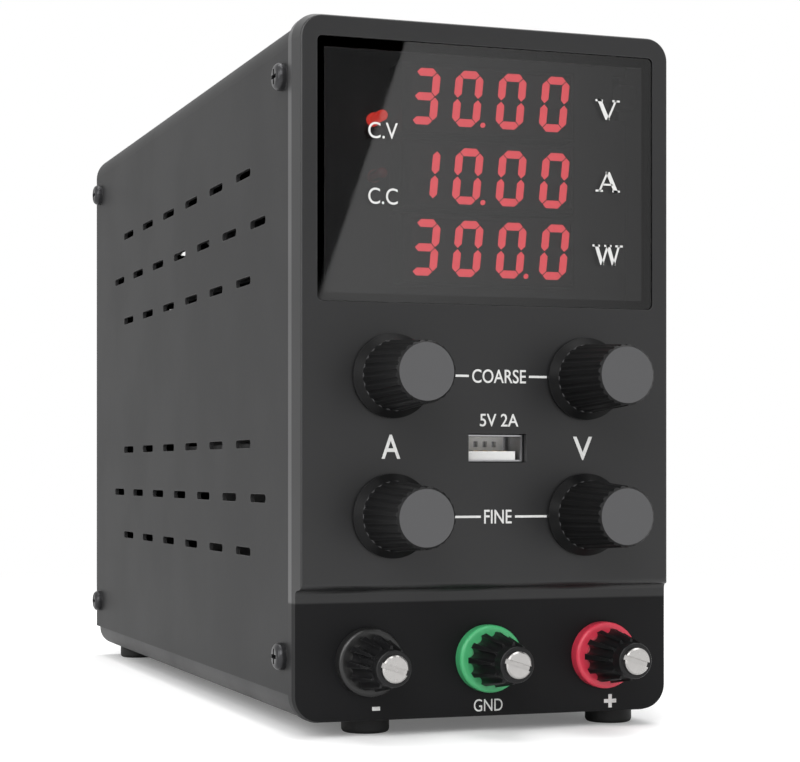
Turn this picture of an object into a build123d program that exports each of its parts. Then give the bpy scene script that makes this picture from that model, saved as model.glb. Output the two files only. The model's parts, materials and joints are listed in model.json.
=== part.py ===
from build123d import *
from math import atan, cos, degrees, radians, sin, sqrt
import os

# A bench power supply: a moulded front bezel, a folded steel case, a rear panel and what they hold.
# The frame: +X to the right of the front, +Y from front to back, +Z up, in millimetres.
# The origin is at the middle of the footprint, on the surface that the feet stand on.

# Overall size
case_width = 88.0
case_height = 152.0
case_depth = 216.0
foot_height = 3.4

# Clearances
seam_gap = 0.3
seat_gap = 0.1
running_gap = 0.05
screw_gap = 0.2
small_edge = 1.0

# Front bezel
bezel_depth = 6.5
bezel_corner = 5.8
bevel_length = 4.0
bevel_width = 0.9
face_round = 0.5
panel_thick = 3.2
skirt_thick = 2.0
skirt_reach = 11.0
step_height = 28.6
step_recess = 2.5
step_slope = 2.4

# Display window, in its pocket in the bezel
window_side_margin = 4.5
window_top_margin = 5.3
window_bottom = 90.2
window_corner = 1.2
window_thick = 1.8
window_recess = 0.4
window_ledge = 2.0

# Sheet-metal case
cover_inset = 0.3
cover_thick = 1.0
cover_corner = 6.5
cover_bottom = 5.7
pan_thick = 1.2
pan_corner = 5.0
pan_wall_height = 22.0
rear_thick = 1.2
rear_lip = 1.5
tab_reach = 12.0
tab_height = 19.0
tab_low = 4.5
tab_drop = 26.5

# Side vents: slots in rows, six and seven to a row
slot_length = 12.8
slot_height = 1.9
slot_pitch = 25.0
slot_shift = 1.5
slot_counts = (6, 7, 6)
upper_rows_drop = 41.8
lower_rows_middle = 47.8
slot_row_pitch = 12.4

# Pan-head screws that hold the cover
screw_head_diameter = 6.0
screw_head_height = 2.2
screw_head_dome = 0.6
screw_shank_diameter = 3.0
screw_length = 7.5
recess_length = 3.4
recess_width = 0.9
recess_depth = 1.3
front_screw_y = 11.2
rear_screw_y = 6.2
upper_screw_drop = 12.6
lower_screw_z = 13.8

# Feet
foot_diameter = 10.6
foot_round = 0.9
foot_bore_diameter = 6.2
foot_bore_depth = 1.9
foot_screw_head_height = 1.2
front_feet_inset = 14.5
front_feet_shift = 5.0
rear_feet_inset = 11.0
front_feet_y = 12.5
rear_feet_y = 11.0

# Knobs and the potentiometers behind them
knob_spacing = 45.4
knob_fine_z = 44.3
knob_coarse_z = 74.4
knob_length = 21.5
knob_gap = 0.5
skirt_diameter = 18.2
knob_skirt_thick = 2.6
knob_root_diameter = 15.2
knob_end_diameter = 13.0
knob_edge = 0.5
skirt_cone = 1.9
knob_flutes = 24
flute_diameter = 1.4
flute_depth = 0.25
knob_wall = 1.8
shaft_diameter = 6.0
shaft_flat = 4.5
shaft_reach = 16.0
pot_body_diameter = 16.4
pot_body_depth = 8.6
bushing_diameter = 7.0
bushing_reach = 4.2
nut_across_flats = 10.0
nut_thick = 2.2

# Front board and what it carries
board_thick = 1.6
board_margin = 1.0
board_low = 30.5
board_boss_diameter = 5.4
board_boss_inset = 3.0
board_boss_low = 34.5
board_boss_drop = 3.4
board_screw_diameter = 2.6
digit_module_width = 41.0
digit_row_gap = 1.2
digit_rows_margin = 3.65
digit_rows_rise = 0.5
digit_module_depth = 8.0
digit_module_x = 1.4
led_diameter = 2.4
led_x = -23.2
voltage_lamp_drop = 4.1
current_lamp_drop = 0.2

# USB power socket
usb_x = 1.9
usb_z = 59.0
usb_opening_width = 12.5
usb_opening_height = 5.12
usb_shell_thick = 0.35
usb_setback = 1.8
usb_tongue_width = 11.1
usb_tongue_thick = 1.9
usb_tongue_setback = 1.6
usb_block_thick = 1.2
usb_contacts = 4
usb_contact_pitch = 2.2
usb_contact_width = 1.0
usb_contact_height = 1.3
usb_cutout_gap = 0.25

# Binding posts
post_pitch = 27.7
posts_shift = 0.4
post_z = 12.9
flange_diameter = 14.8
flange_thick = 3.0
flange_round = 0.8
neck_diameter = 9.0
stud_diameter = 5.8
stud_reach = 18.2
stud_tail = 20.0
stud_slot_width = 1.1
stud_slot_depth = 1.2
stud_slot_tilt = 18.0
wire_hole_diameter = 2.0
washer_diameter = 10.0
washer_thick = 1.0
cap_root_diameter = 12.2
cap_end_diameter = 9.2
cap_end = 13.7
cap_flutes = 11
cap_flute_diameter = 2.2
cap_flute_depth = 1.0
collar_diameter = 7.8
collar_end = 17.1
bush_thick = 2.0
lug_thick = 0.8
lug_width = 7.0
lug_length = 14.0
post_nut_flats = 10.0
post_nut_thick = 3.0

# Fan
fan_size = 60.0
fan_depth = 25.0
fan_drop = 40.0
fan_hole_spacing = 50.0
fan_corner = 4.0
fan_bore_diameter = 57.0
fan_wall = 1.6
fan_hub_diameter = 27.0
fan_hub_depth = 20.0
fan_tip_gap = 0.8
fan_blades = 7
fan_blade_thick = 1.6
fan_blade_pitch = 38.0
fan_blade_twist = 14.0
fan_blade_chord = 0.72
fan_motor_diameter = 24.0
fan_motor_depth = 3.0
fan_axle_diameter = 3.0
fan_axle_length = 14.0
fan_strut_width = 4.0
fan_strut_depth = 3.0
fan_screw_diameter = 4.0
fan_screw_head = 7.0
fan_nut_flats = 7.0
fan_nut_thick = 3.0

# Fan guard: round wire rings on two crossed spokes, with a lug at each screw
guard_wire = 1.8
guard_ring_diameters = (16.0, 28.0, 40.0, 52.0)
guard_lug_diameter = 9.0
guard_lug_thick = 1.0
guard_bite = 0.6
guard_rise = 1.4

# Mains inlet, power switch and voltage selector, on the rear panel
inlet_inset = 28.5
inlet_z = 33.0
inlet_flange_width = 50.0
inlet_flange_height = 24.0
inlet_flange_thick = 3.0
inlet_body_width = 27.0
inlet_body_height = 19.4
inlet_body_depth = 16.0
inlet_recess_width = 24.0
inlet_recess_height = 16.4
inlet_recess_depth = 15.5
inlet_chamfer = 4.6
inlet_screw_spacing = 40.0
inlet_pin_width = 4.0
inlet_pin_thick = 2.0
inlet_pin_pitch = 14.0
inlet_pin_rise = 4.0
inlet_pin_length = 12.0
inlet_tail = 8.0
switch_inset = 18.0
switch_z = 33.0
switch_bezel_width = 15.0
switch_bezel_height = 21.0
switch_bezel_thick = 2.0
switch_body_width = 12.6
switch_body_height = 18.8
switch_body_depth = 14.0
rocker_width = 9.4
rocker_height = 14.6
rocker_rise = 4.6
rocker_dish = 1.5
rocker_throw = 11.0
rocker_pin_diameter = 2.4
rocker_swing_gap = 0.9
rocker_side_gap = 0.3
selector_inset = 18.0
selector_z = 60.0
selector_flange_width = 12.0
selector_flange_height = 28.0
selector_flange_thick = 1.0
selector_body_width = 9.0
selector_body_height = 17.0
selector_body_depth = 9.0
selector_window_width = 5.0
selector_slider_height = 5.6
selector_travel = 4.6
selector_slider_rise = 0.6
selector_gap = 0.2
rear_screw_diameter = 3.0
rear_screw_head = 5.6
rear_screw_head_height = 1.8
rear_screw_length = 6.0

# Power board and its parts
standoff_height = 6.0
standoff_flats = 5.5
standoff_inset = 5.0
standoff_front = 33.5
standoff_rear = 24.0
power_board_gap = 2.4
power_board_front = 30.0
power_board_rear = 14.0
heatsink_length = 84.0
heatsink_height = 112.0
heatsink_base = 3.0
heatsink_fin_reach = 8.0
heatsink_fin_thick = 1.4
heatsink_fins = 12
heatsink_inset = 11.5
heatsink_y = 84.0
transformer_width = 34.0
transformer_length = 40.0
winding_share = 0.7
transformer_height = 36.0
transformer_y = 96.0
bobbin_reach = 5.0
bulk_capacitor_diameter = 22.0
bulk_capacitor_height = 42.0
bulk_capacitor_y = 150.0
output_capacitor_diameter = 13.0
output_capacitor_height = 26.0
output_capacitor_y = 52.0
choke_diameter = 26.0
choke_hole_diameter = 12.0
choke_thick = 13.0
choke_y = 68.0
device_width = 15.5
device_height = 20.0
device_thick = 4.6
device_count = 3
device_pitch = 24.0
fuse_diameter = 5.2
fuse_length = 20.0
fuse_clip_share = 0.75
fuse_y = 174.0

# Places worked out from the sizes above
base_z = foot_height
top_z = base_z + case_height
half_width = case_width / 2
cover_half = half_width - cover_inset
pan_half = cover_half - cover_thick - seat_gap
inner_half = pan_half - pan_thick - seat_gap
cover_top = top_z - cover_inset
inner_top = cover_top - cover_thick - seat_gap
inner_low = base_z + pan_thick + seat_gap
inner_high_corner = cover_corner - cover_thick - seat_gap
inner_low_corner = pan_corner - pan_thick - seat_gap
skirt_half = inner_half - skirt_thick

rocker_half = rocker_height / 2
rocker_reach = rocker_rise * cos(radians(rocker_throw)) + rocker_half * sin(radians(rocker_throw))
front_y = (knob_length - case_depth - rocker_reach + rear_lip) / 2
rear_y = front_y + case_depth
rear_face_y = rear_y - rear_lip
rear_inner_y = rear_face_y - rear_thick
case_front_y = front_y + bezel_depth + seam_gap
panel_back_y = front_y + panel_thick
low_face_y = front_y + step_recess
low_back_y = low_face_y + panel_thick
board_front_y = panel_back_y + pot_body_depth
board_back_y = board_front_y + board_thick
window_width = case_width - 2 * window_side_margin
window_height = case_height - window_bottom - window_top_margin
window_middle_z = base_z + window_bottom + window_height / 2
digit_row_pitch = (window_height - 2 * digit_rows_margin) / 3
digit_module_height = digit_row_pitch - digit_row_gap
digit_rows = [window_middle_z + digit_rows_rise + step * digit_row_pitch for step in (1, 0, -1)]
lamp_heights = (digit_rows[0] - voltage_lamp_drop, digit_rows[1] - current_lamp_drop)
upper_screw_z = case_height - upper_screw_drop
window_back_y = front_y + window_recess + window_thick
pan_top = base_z + pan_thick
power_board_z = pan_top + standoff_height
power_board_top = power_board_z + board_thick
power_board_width = 2 * (pan_half - pan_thick - power_board_gap)
standoff_x = power_board_width / 2 - standoff_inset
heatsink_x = power_board_width / 2 - heatsink_inset

ON_SEAT = (Align.CENTER, Align.CENTER, Align.MIN)
UNDER_SEAT = (Align.CENTER, Align.CENTER, Align.MAX)

knob_places = {
    "current_coarse": (-knob_spacing / 2, base_z + knob_coarse_z),
    "current_fine": (-knob_spacing / 2, base_z + knob_fine_z),
    "voltage_coarse": (knob_spacing / 2, base_z + knob_coarse_z),
    "voltage_fine": (knob_spacing / 2, base_z + knob_fine_z),
}
post_places = {
    "negative": (posts_shift - post_pitch, base_z + post_z),
    "ground": (posts_shift, base_z + post_z),
    "positive": (posts_shift + post_pitch, base_z + post_z),
}
board_screw_places = [
    (side * (skirt_half - board_boss_inset), base_z + height)
    for side in (-1, 1)
    for height in (board_boss_low, window_bottom - board_boss_drop)
]


def front_plane(y):
    """An upright plane at depth y that faces the front, with X across and Z up."""
    return Plane.XZ.offset(-y)


def facing_front(x, y, z):
    """A seat at a point, with its axis towards the front."""
    return Plane(origin=(x, y, z), x_dir=(1, 0, 0), z_dir=(0, -1, 0))


def facing_rear(x, y, z):
    """A seat at a point, with its axis towards the rear."""
    return Plane(origin=(x, y, z), x_dir=(-1, 0, 0), z_dir=(0, 1, 0))


def facing_side(side, x, y, z):
    """A seat on the left (-1) or right (+1) wall, with its axis outwards."""
    return Plane(origin=(side * x, y, z), x_dir=(0, side, 0), z_dir=(side, 0, 0))


def round_section(sketch, half, low, high, high_corner, low_corner):
    """Draw an upright section between two heights, with its own corners above and below."""
    with Locations((0, (low + high) / 2)):
        Rectangle(2 * half, high - low)
    fillet(sketch.vertices().group_by(Axis.Y)[-1], high_corner)
    fillet(sketch.vertices().group_by(Axis.Y)[0], low_corner)


def finish(piece, node):
    """Label a finished piece and write it."""
    piece.part.label = node
    export_step(piece.part, f"parts/{node}.step")


def pan_screw(head_diameter, head_height, shank_diameter, length):
    """A screw along Z with its seat at Z = 0 and a cross recess in its rounded head."""
    with BuildPart() as screw:
        Cylinder(head_diameter / 2, head_height, align=ON_SEAT)
        fillet(screw.edges().group_by(Axis.Z)[-1], head_height * screw_head_dome)
        Cylinder(shank_diameter / 2, length, align=UNDER_SEAT)
        with Locations((0, 0, head_height)):
            Box(recess_length, recess_width, recess_depth, align=UNDER_SEAT, mode=Mode.SUBTRACT)
            Box(recess_width, recess_length, recess_depth, align=UNDER_SEAT, mode=Mode.SUBTRACT)
    return screw.part


def hex_nut(across_flats, thick, bore):
    """A hexagon nut on Z = 0, bored for its thread."""
    with BuildPart() as nut:
        with BuildSketch():
            RegularPolygon(across_flats / 2, 6, major_radius=False)
            Circle(bore / 2, mode=Mode.SUBTRACT)
        extrude(amount=thick)
    return nut.part


def scalloped(radius, count, flute_radius, flute_depth):
    """Draw a circle with flutes of a given depth cut round its edge."""
    Circle(radius)
    with PolarLocations(radius + flute_radius - flute_depth, count):
        Circle(flute_radius, mode=Mode.SUBTRACT)


def copies(shape, seats, node):
    """Write one node that holds a copy of a shape on each seat."""
    with BuildPart() as group:
        with Locations(*seats):
            add(shape)
    finish(group, node)


os.makedirs("parts", exist_ok=True)

# Front bezel: a bevelled rim, a face that steps back at the terminals, and a skirt inside the case
cover_screw_seats = [
    facing_side(side, cover_half, y, base_z + z)
    for side in (-1, 1)
    for y in (front_y + front_screw_y, rear_y - rear_screw_y)
    for z in (upper_screw_z, lower_screw_z)
]
bezel_bevel = degrees(atan(bevel_width / bevel_length))
step_low = base_z + step_height - step_slope / 2
step_high = base_z + step_height + step_slope / 2
step_middle = (front_y + step_recess / 2, base_z + step_height)
screw_pad = screw_head_diameter + 4
boss_reach = screw_length - cover_thick - pan_thick - skirt_thick

with BuildPart() as front_bezel:
    with BuildSketch(front_plane(front_y + bezel_depth)) as rim:
        round_section(rim, half_width, base_z, top_z, bezel_corner, bezel_corner)
    extrude(amount=bezel_depth - bevel_length)
    with BuildSketch(front_plane(front_y + bevel_length)) as bevel:
        round_section(bevel, half_width, base_z, top_z, bezel_corner, bezel_corner)
    extrude(amount=bevel_length, taper=bezel_bevel)
    fillet(front_bezel.faces().sort_by(Axis.Y)[0].edges(), face_round)
    with BuildSketch(front_plane(front_y + bezel_depth)) as skirt:
        round_section(skirt, inner_half, inner_low, inner_top, inner_high_corner, inner_low_corner)
    extrude(amount=-skirt_reach)
    for side in (-1, 1):
        with Locations(facing_side(side, skirt_half, front_y + front_screw_y, base_z + upper_screw_z)):
            Box(screw_pad, screw_pad, pan_half - skirt_half, align=ON_SEAT)

    # The face steps back along an S-shaped run between the two depths
    with BuildSketch(Plane.YZ):
        with BuildLine():
            upper_bend = TangentArc((front_y, step_high), step_middle, tangent=(0, -1))
            lower_bend = TangentArc((low_face_y, step_low), step_middle, tangent=(0, 1))
            Polyline(
                lower_bend @ 0,
                (low_face_y, base_z - step_recess),
                (front_y - step_recess, base_z - step_recess),
                (front_y - step_recess, step_high),
                upper_bend @ 0,
            )
        make_face()
    extrude(amount=case_width, both=True, mode=Mode.SUBTRACT)

    # The hollow behind the face
    skirt_end_y = front_y + bezel_depth + skirt_reach
    with BuildSketch(front_plane(skirt_end_y)) as hollow:
        round_section(
            hollow, skirt_half, inner_low + skirt_thick, inner_top - skirt_thick,
            inner_high_corner - skirt_thick, inner_low_corner - skirt_thick,
        )
    extrude(amount=skirt_end_y - low_back_y, mode=Mode.SUBTRACT)
    with BuildSketch(front_plane(low_back_y)):
        with Locations((0, (step_high + inner_top - skirt_thick) / 2)):
            Rectangle(2 * skirt_half, inner_top - skirt_thick - step_high)
    extrude(amount=low_back_y - panel_back_y, mode=Mode.SUBTRACT)

    # Bosses: inside the skirt for the case screws, behind the face for the board
    for side in (-1, 1):
        for z in (upper_screw_z, lower_screw_z):
            with Locations(facing_side(side, skirt_half, front_y + front_screw_y, base_z + z)):
                Cylinder(screw_head_diameter / 2, boss_reach, align=UNDER_SEAT)
    with BuildSketch(front_plane(board_front_y)):
        with Locations(*board_screw_places):
            Circle(board_boss_diameter / 2)
    extrude(amount=pot_body_depth)

    # Openings: window pocket and its ledge, bushings, USB socket, binding posts, screws
    with BuildSketch(front_plane(window_back_y)):
        with Locations((0, window_middle_z)):
            RectangleRounded(window_width, window_height, window_corner)
    extrude(amount=panel_thick, mode=Mode.SUBTRACT)
    with BuildSketch(front_plane(low_back_y)):
        with Locations((0, window_middle_z)):
            Rectangle(window_width - 2 * window_ledge, window_height - 2 * window_ledge)
        with Locations((usb_x, base_z + usb_z)):
            Rectangle(
                usb_opening_width + 2 * usb_shell_thick + 2 * usb_cutout_gap,
                usb_opening_height + 2 * usb_shell_thick + 2 * usb_cutout_gap,
            )
        with Locations(*knob_places.values()):
            Circle(bushing_diameter / 2 + screw_gap)
        with Locations(*post_places.values()):
            Circle(neck_diameter / 2 + seat_gap)
    extrude(amount=2 * panel_thick, mode=Mode.SUBTRACT)
    with Locations(*cover_screw_seats):
        Cylinder(screw_shank_diameter / 2 + running_gap, 2 * screw_length, mode=Mode.SUBTRACT)
    with Locations(*[facing_rear(x, board_front_y, z) for x, z in board_screw_places]):
        Cylinder(
            board_screw_diameter / 2 + running_gap, pot_body_depth,
            align=UNDER_SEAT, mode=Mode.SUBTRACT,
        )
finish(front_bezel, "front_bezel")

# Display window: a smoked plate against the ledge of its pocket
with BuildPart() as display_window:
    with BuildSketch(front_plane(window_back_y)):
        with Locations((0, window_middle_z)):
            RectangleRounded(
                window_width - 2 * seat_gap, window_height - 2 * seat_gap, window_corner
            )
    extrude(amount=window_thick)
finish(display_window, "display_window")

# Case cover: a folded sheet, open below, with rows of vent slots in both sides
with BuildPart() as top_cover:
    with BuildSketch(front_plane(rear_y)) as outside:
        with Locations((0, (base_z + cover_bottom + cover_top) / 2)):
            Rectangle(2 * cover_half, cover_top - base_z - cover_bottom)
        fillet(outside.vertices().group_by(Axis.Y)[-1], cover_corner)
    extrude(amount=rear_y - case_front_y)
    with BuildSketch(front_plane(rear_y)) as inside:
        with Locations((0, (base_z + cover_top - cover_thick) / 2)):
            Rectangle(2 * (cover_half - cover_thick), cover_top - cover_thick - base_z)
        fillet(inside.vertices().group_by(Axis.Y)[-1], cover_corner - cover_thick)
    extrude(amount=rear_y - case_front_y, mode=Mode.SUBTRACT)
    with BuildSketch(Plane.YZ):
        for middle_z in (case_height - upper_rows_drop, lower_rows_middle):
            for row, count in enumerate(slot_counts):
                row_z = base_z + middle_z + (1 - row) * slot_row_pitch
                with Locations((front_y + case_depth / 2 - slot_shift, row_z)):
                    with GridLocations(slot_pitch, slot_row_pitch, count, 1):
                        SlotOverall(slot_length, slot_height)
    extrude(amount=case_width, both=True, mode=Mode.SUBTRACT)
    with Locations(*cover_screw_seats):
        Cylinder(screw_shank_diameter / 2 + screw_gap, 2 * screw_length, mode=Mode.SUBTRACT)
finish(top_cover, "top_cover")

# Chassis: a pan whose walls stand inside the cover, bored for feet, standoffs and case screws
front_feet = [
    (front_feet_shift + side * (half_width - front_feet_inset), front_y + front_feet_y)
    for side in (-1, 1)
]
rear_feet = [(side * (half_width - rear_feet_inset), rear_y - rear_feet_y) for side in (-1, 1)]
feet_places = front_feet + rear_feet
standoff_places = [
    (side * standoff_x, y)
    for side in (-1, 1)
    for y in (front_y + standoff_front, rear_y - standoff_rear)
]
with BuildPart() as bottom_chassis:
    with BuildSketch(front_plane(rear_y)) as outside:
        with Locations((0, base_z + pan_wall_height / 2)):
            Rectangle(2 * pan_half, pan_wall_height)
        fillet(outside.vertices().group_by(Axis.Y)[0], pan_corner)
    extrude(amount=rear_y - case_front_y)
    with BuildSketch(front_plane(rear_y)) as inside:
        with Locations((0, pan_top + pan_wall_height / 2)):
            Rectangle(2 * (pan_half - pan_thick), pan_wall_height)
        fillet(inside.vertices().group_by(Axis.Y)[0], pan_corner - pan_thick)
    extrude(amount=rear_y - case_front_y, mode=Mode.SUBTRACT)
    with Locations(*cover_screw_seats):
        Cylinder(screw_shank_diameter / 2 + screw_gap, 2 * screw_length, mode=Mode.SUBTRACT)
    with Locations(*[(x, y, pan_top) for x, y in feet_places + standoff_places]):
        Hole(rear_screw_diameter / 2 + running_gap, depth=2 * pan_thick)
finish(bottom_chassis, "bottom_chassis")

# Rear panel: a plate between the walls, with four tabs folded forwards for the case screws
fan_middle_z = top_z - fan_drop
fan_holes = [
    (x * fan_hole_spacing / 2, fan_middle_z + z * fan_hole_spacing / 2)
    for x in (-1, 1)
    for z in (-1, 1)
]
inlet_x = inlet_inset - half_width
inlet_middle_z = base_z + inlet_z
inlet_holes = [(inlet_x + side * inlet_screw_spacing / 2, inlet_middle_z) for side in (-1, 1)]
switch_x = half_width - switch_inset
selector_x = half_width - selector_inset
switch_middle_z = base_z + switch_z
selector_middle_z = base_z + selector_z
selector_hole_spacing = (selector_flange_height + selector_body_height) / 2
selector_holes = [
    (selector_x, selector_middle_z + side * selector_hole_spacing / 2) for side in (-1, 1)
]


def inlet_outline(width, height, corner_cut):
    """Draw the inlet's six-sided outline, its two lower corners cut off."""
    Polygon(
        (-width / 2, height / 2),
        (width / 2, height / 2),
        (width / 2, corner_cut - height / 2),
        (width / 2 - corner_cut, -height / 2),
        (corner_cut - width / 2, -height / 2),
        (-width / 2, corner_cut - height / 2),
        align=None,
    )


with BuildPart() as rear_panel:
    with BuildSketch(front_plane(rear_face_y)) as plate:
        round_section(
            plate, pan_half, base_z + pan_wall_height + seat_gap, inner_top,
            inner_high_corner, seat_gap,
        )
    extrude(amount=rear_thick)
    with BuildSketch(front_plane(rear_face_y)) as foot_plate:
        with Locations((0, inner_low + pan_wall_height)):
            Rectangle(2 * inner_half, 2 * pan_wall_height)
        fillet(foot_plate.vertices().group_by(Axis.Y)[0], inner_low_corner)
    extrude(amount=rear_thick)
    for side in (-1, 1):
        for half, low in ((inner_half, tab_low), (pan_half, case_height - tab_drop)):
            with Locations((side * (half - rear_thick / 2), rear_face_y - tab_reach / 2, base_z + low)):
                Box(rear_thick, tab_reach, tab_height, align=ON_SEAT)
    with BuildSketch(front_plane(rear_face_y)):
        with Locations((0, fan_middle_z)):
            Circle(fan_bore_diameter / 2)
        with Locations(*fan_holes):
            Circle(fan_screw_diameter / 2 + screw_gap)
        with Locations((inlet_x, inlet_middle_z)):
            inlet_outline(
                inlet_body_width + 2 * seat_gap, inlet_body_height + 2 * seat_gap, inlet_chamfer
            )
        with Locations((switch_x, switch_middle_z)):
            Rectangle(switch_body_width + 2 * seat_gap, switch_body_height + 2 * seat_gap)
        with Locations((selector_x, selector_middle_z)):
            Rectangle(selector_body_width + 2 * seat_gap, selector_body_height + 2 * seat_gap)
        with Locations(*inlet_holes, *selector_holes):
            Circle(rear_screw_diameter / 2 + running_gap)
    extrude(amount=2 * rear_thick, both=True, mode=Mode.SUBTRACT)
    with Locations(*cover_screw_seats):
        Cylinder(screw_shank_diameter / 2 + running_gap, 2 * screw_length, mode=Mode.SUBTRACT)
finish(rear_panel, "rear_panel")

# Screws that hold the cover to the bezel, the chassis and the rear panel
cover_screw = pan_screw(screw_head_diameter, screw_head_height, screw_shank_diameter, screw_length)
copies(cover_screw, cover_screw_seats, "cover_screws")

# Feet: rubber, each with a screw up into the chassis
with BuildPart() as foot:
    Cylinder(foot_diameter / 2, foot_height, align=ON_SEAT)
    fillet(foot.edges().group_by(Axis.Z)[0], foot_round)
    with Locations(Plane.XY.rotated((180, 0, 0))):
        CounterBoreHole(rear_screw_diameter / 2 + screw_gap, foot_bore_diameter / 2, foot_bore_depth)
copies(foot.part, [Plane(origin=(x, y, 0)) for x, y in feet_places], "feet")
foot_screw = pan_screw(
    rear_screw_head, foot_screw_head_height, rear_screw_diameter, pan_top - foot_bore_depth
)
foot_screw_seats = [
    Plane(origin=(x, y, foot_bore_depth), x_dir=(1, 0, 0), z_dir=(0, 0, -1)) for x, y in feet_places
]
copies(foot_screw, foot_screw_seats, "foot_screws")

# Front board: it stands on the bezel's bosses and carries the displays, the lamps and the controls
with BuildPart() as front_board:
    board_half = skirt_half - board_margin
    board_high_z = inner_top - skirt_thick - board_margin
    with BuildSketch(front_plane(board_back_y)):
        with Locations((0, (base_z + board_low + board_high_z) / 2)):
            Rectangle(2 * board_half, board_high_z - base_z - board_low)
        with Locations(*board_screw_places):
            Circle(board_screw_diameter / 2 + running_gap, mode=Mode.SUBTRACT)
        with Locations(*[(side * board_half, base_z + upper_screw_z) for side in (-1, 1)]):
            Rectangle(2 * boss_reach, screw_pad, mode=Mode.SUBTRACT)
    extrude(amount=board_thick)
finish(front_board, "front_board")
board_screw = pan_screw(
    board_boss_diameter, rear_screw_head_height, board_screw_diameter, rear_screw_length
)
copies(
    board_screw, [facing_rear(x, board_back_y, z) for x, z in board_screw_places],
    "front_board_screws",
)

# Display modules: one block per row of digits, its face framed by a low rim behind the window
with BuildPart() as digit_module:
    Box(digit_module_width, digit_module_height, digit_module_depth, align=ON_SEAT)
    chamfer(digit_module.faces().sort_by(Axis.Z)[-1].edges(), small_edge / 2)
    with Locations(Plane.XY.offset(digit_module_depth)):
        Box(
            digit_module_width - 2 * small_edge, digit_module_height - 2 * small_edge,
            small_edge / 2, align=UNDER_SEAT, mode=Mode.SUBTRACT,
        )
copies(
    digit_module.part, [facing_front(digit_module_x, board_front_y, z) for z in digit_rows],
    "digit_modules",
)

# Mode lamps: round lenses with domed ends, up to the window
with BuildPart() as lamp:
    lamp_length = board_front_y - window_back_y - window_ledge
    Cylinder(led_diameter / 2 + seam_gap, small_edge, align=ON_SEAT)
    Cylinder(led_diameter / 2, lamp_length - led_diameter / 2, align=ON_SEAT)
    with Locations((0, 0, lamp_length - led_diameter / 2)):
        Sphere(led_diameter / 2)
copies(
    lamp.part, [facing_front(led_x, board_front_y, z) for z in lamp_heights], "mode_lamps"
)

# Potentiometers: a round can behind the panel and a bushing through it, bored for the shaft
shaft_depth = pot_body_depth + panel_thick - 2 * small_edge
with BuildPart() as potentiometer:
    Cylinder(pot_body_diameter / 2, pot_body_depth, align=UNDER_SEAT)
    chamfer(potentiometer.edges().group_by(Axis.Z)[-1], small_edge / 2)
    Cylinder(bushing_diameter / 2, panel_thick + bushing_reach, align=ON_SEAT)
    with Locations((0, 0, panel_thick + bushing_reach)):
        Cylinder(
            shaft_diameter / 2 + running_gap, bushing_reach + shaft_depth + seam_gap,
            align=UNDER_SEAT, mode=Mode.SUBTRACT,
        )
copies(
    potentiometer.part, [facing_front(x, panel_back_y, z) for x, z in knob_places.values()],
    "potentiometers",
)
copies(
    hex_nut(nut_across_flats, nut_thick, bushing_diameter),
    [facing_front(x, front_y, z) for x, z in knob_places.values()],
    "potentiometer_nuts",
)

# Knobs: a smooth skirt and a fluted, tapered grip, with a flatted bore for the shaft
grip_root = knob_gap + knob_skirt_thick
with BuildPart() as knob:
    with Locations((0, 0, knob_gap)):
        Cylinder(skirt_diameter / 2, knob_skirt_thick, align=ON_SEAT)
    chamfer(knob.edges().group_by(Axis.Z)[-1], skirt_cone, (skirt_diameter - knob_root_diameter) / 2)
    with BuildSketch(Plane.XY.offset(grip_root)):
        scalloped(knob_root_diameter / 2, knob_flutes, flute_diameter / 2, flute_depth)
    with BuildSketch(Plane.XY.offset(knob_length)):
        scalloped(knob_end_diameter / 2, knob_flutes, flute_diameter / 2, flute_depth)
    loft(ruled=True)
    with BuildSketch(Plane.XZ):
        Polygon(
            (knob_end_diameter / 2 - knob_edge, knob_length),
            (knob_end_diameter / 2 + knob_edge, knob_length - 2 * knob_edge),
            (knob_end_diameter / 2 + knob_edge, knob_length),
            align=None,
        )
    revolve(axis=Axis.Z, mode=Mode.SUBTRACT)
    with Locations((0, 0, knob_gap)):
        Cylinder(
            skirt_diameter / 2 - knob_wall, nut_thick, align=ON_SEAT, mode=Mode.SUBTRACT
        )
    Cylinder(
        bushing_diameter / 2 + knob_gap, bushing_reach + knob_gap,
        align=ON_SEAT, mode=Mode.SUBTRACT,
    )
    with BuildSketch(Plane.XY.offset(bushing_reach)):
        Circle(shaft_diameter / 2 + running_gap)
        with Locations((0, shaft_flat - shaft_diameter / 2 + running_gap)):
            Rectangle(
                shaft_diameter, shaft_diameter, align=(Align.CENTER, Align.MIN), mode=Mode.SUBTRACT
            )
    extrude(amount=shaft_reach - bushing_reach, mode=Mode.SUBTRACT)
with BuildPart() as shaft:
    Cylinder(shaft_diameter / 2, shaft_reach + shaft_depth, align=ON_SEAT)
    with BuildSketch(Plane.XY.offset(shaft_depth + bushing_reach + knob_gap)):
        with Locations((0, shaft_flat - shaft_diameter / 2)):
            Rectangle(shaft_diameter, shaft_diameter, align=(Align.CENTER, Align.MIN))
    extrude(amount=shaft_reach, mode=Mode.SUBTRACT)
for name, (x, z) in knob_places.items():
    copies(knob.part, [facing_front(x, front_y, z)], f"{name}_knob")
    copies(shaft.part, [facing_front(x, front_y + shaft_depth, z)], f"{name}_shaft")

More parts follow.
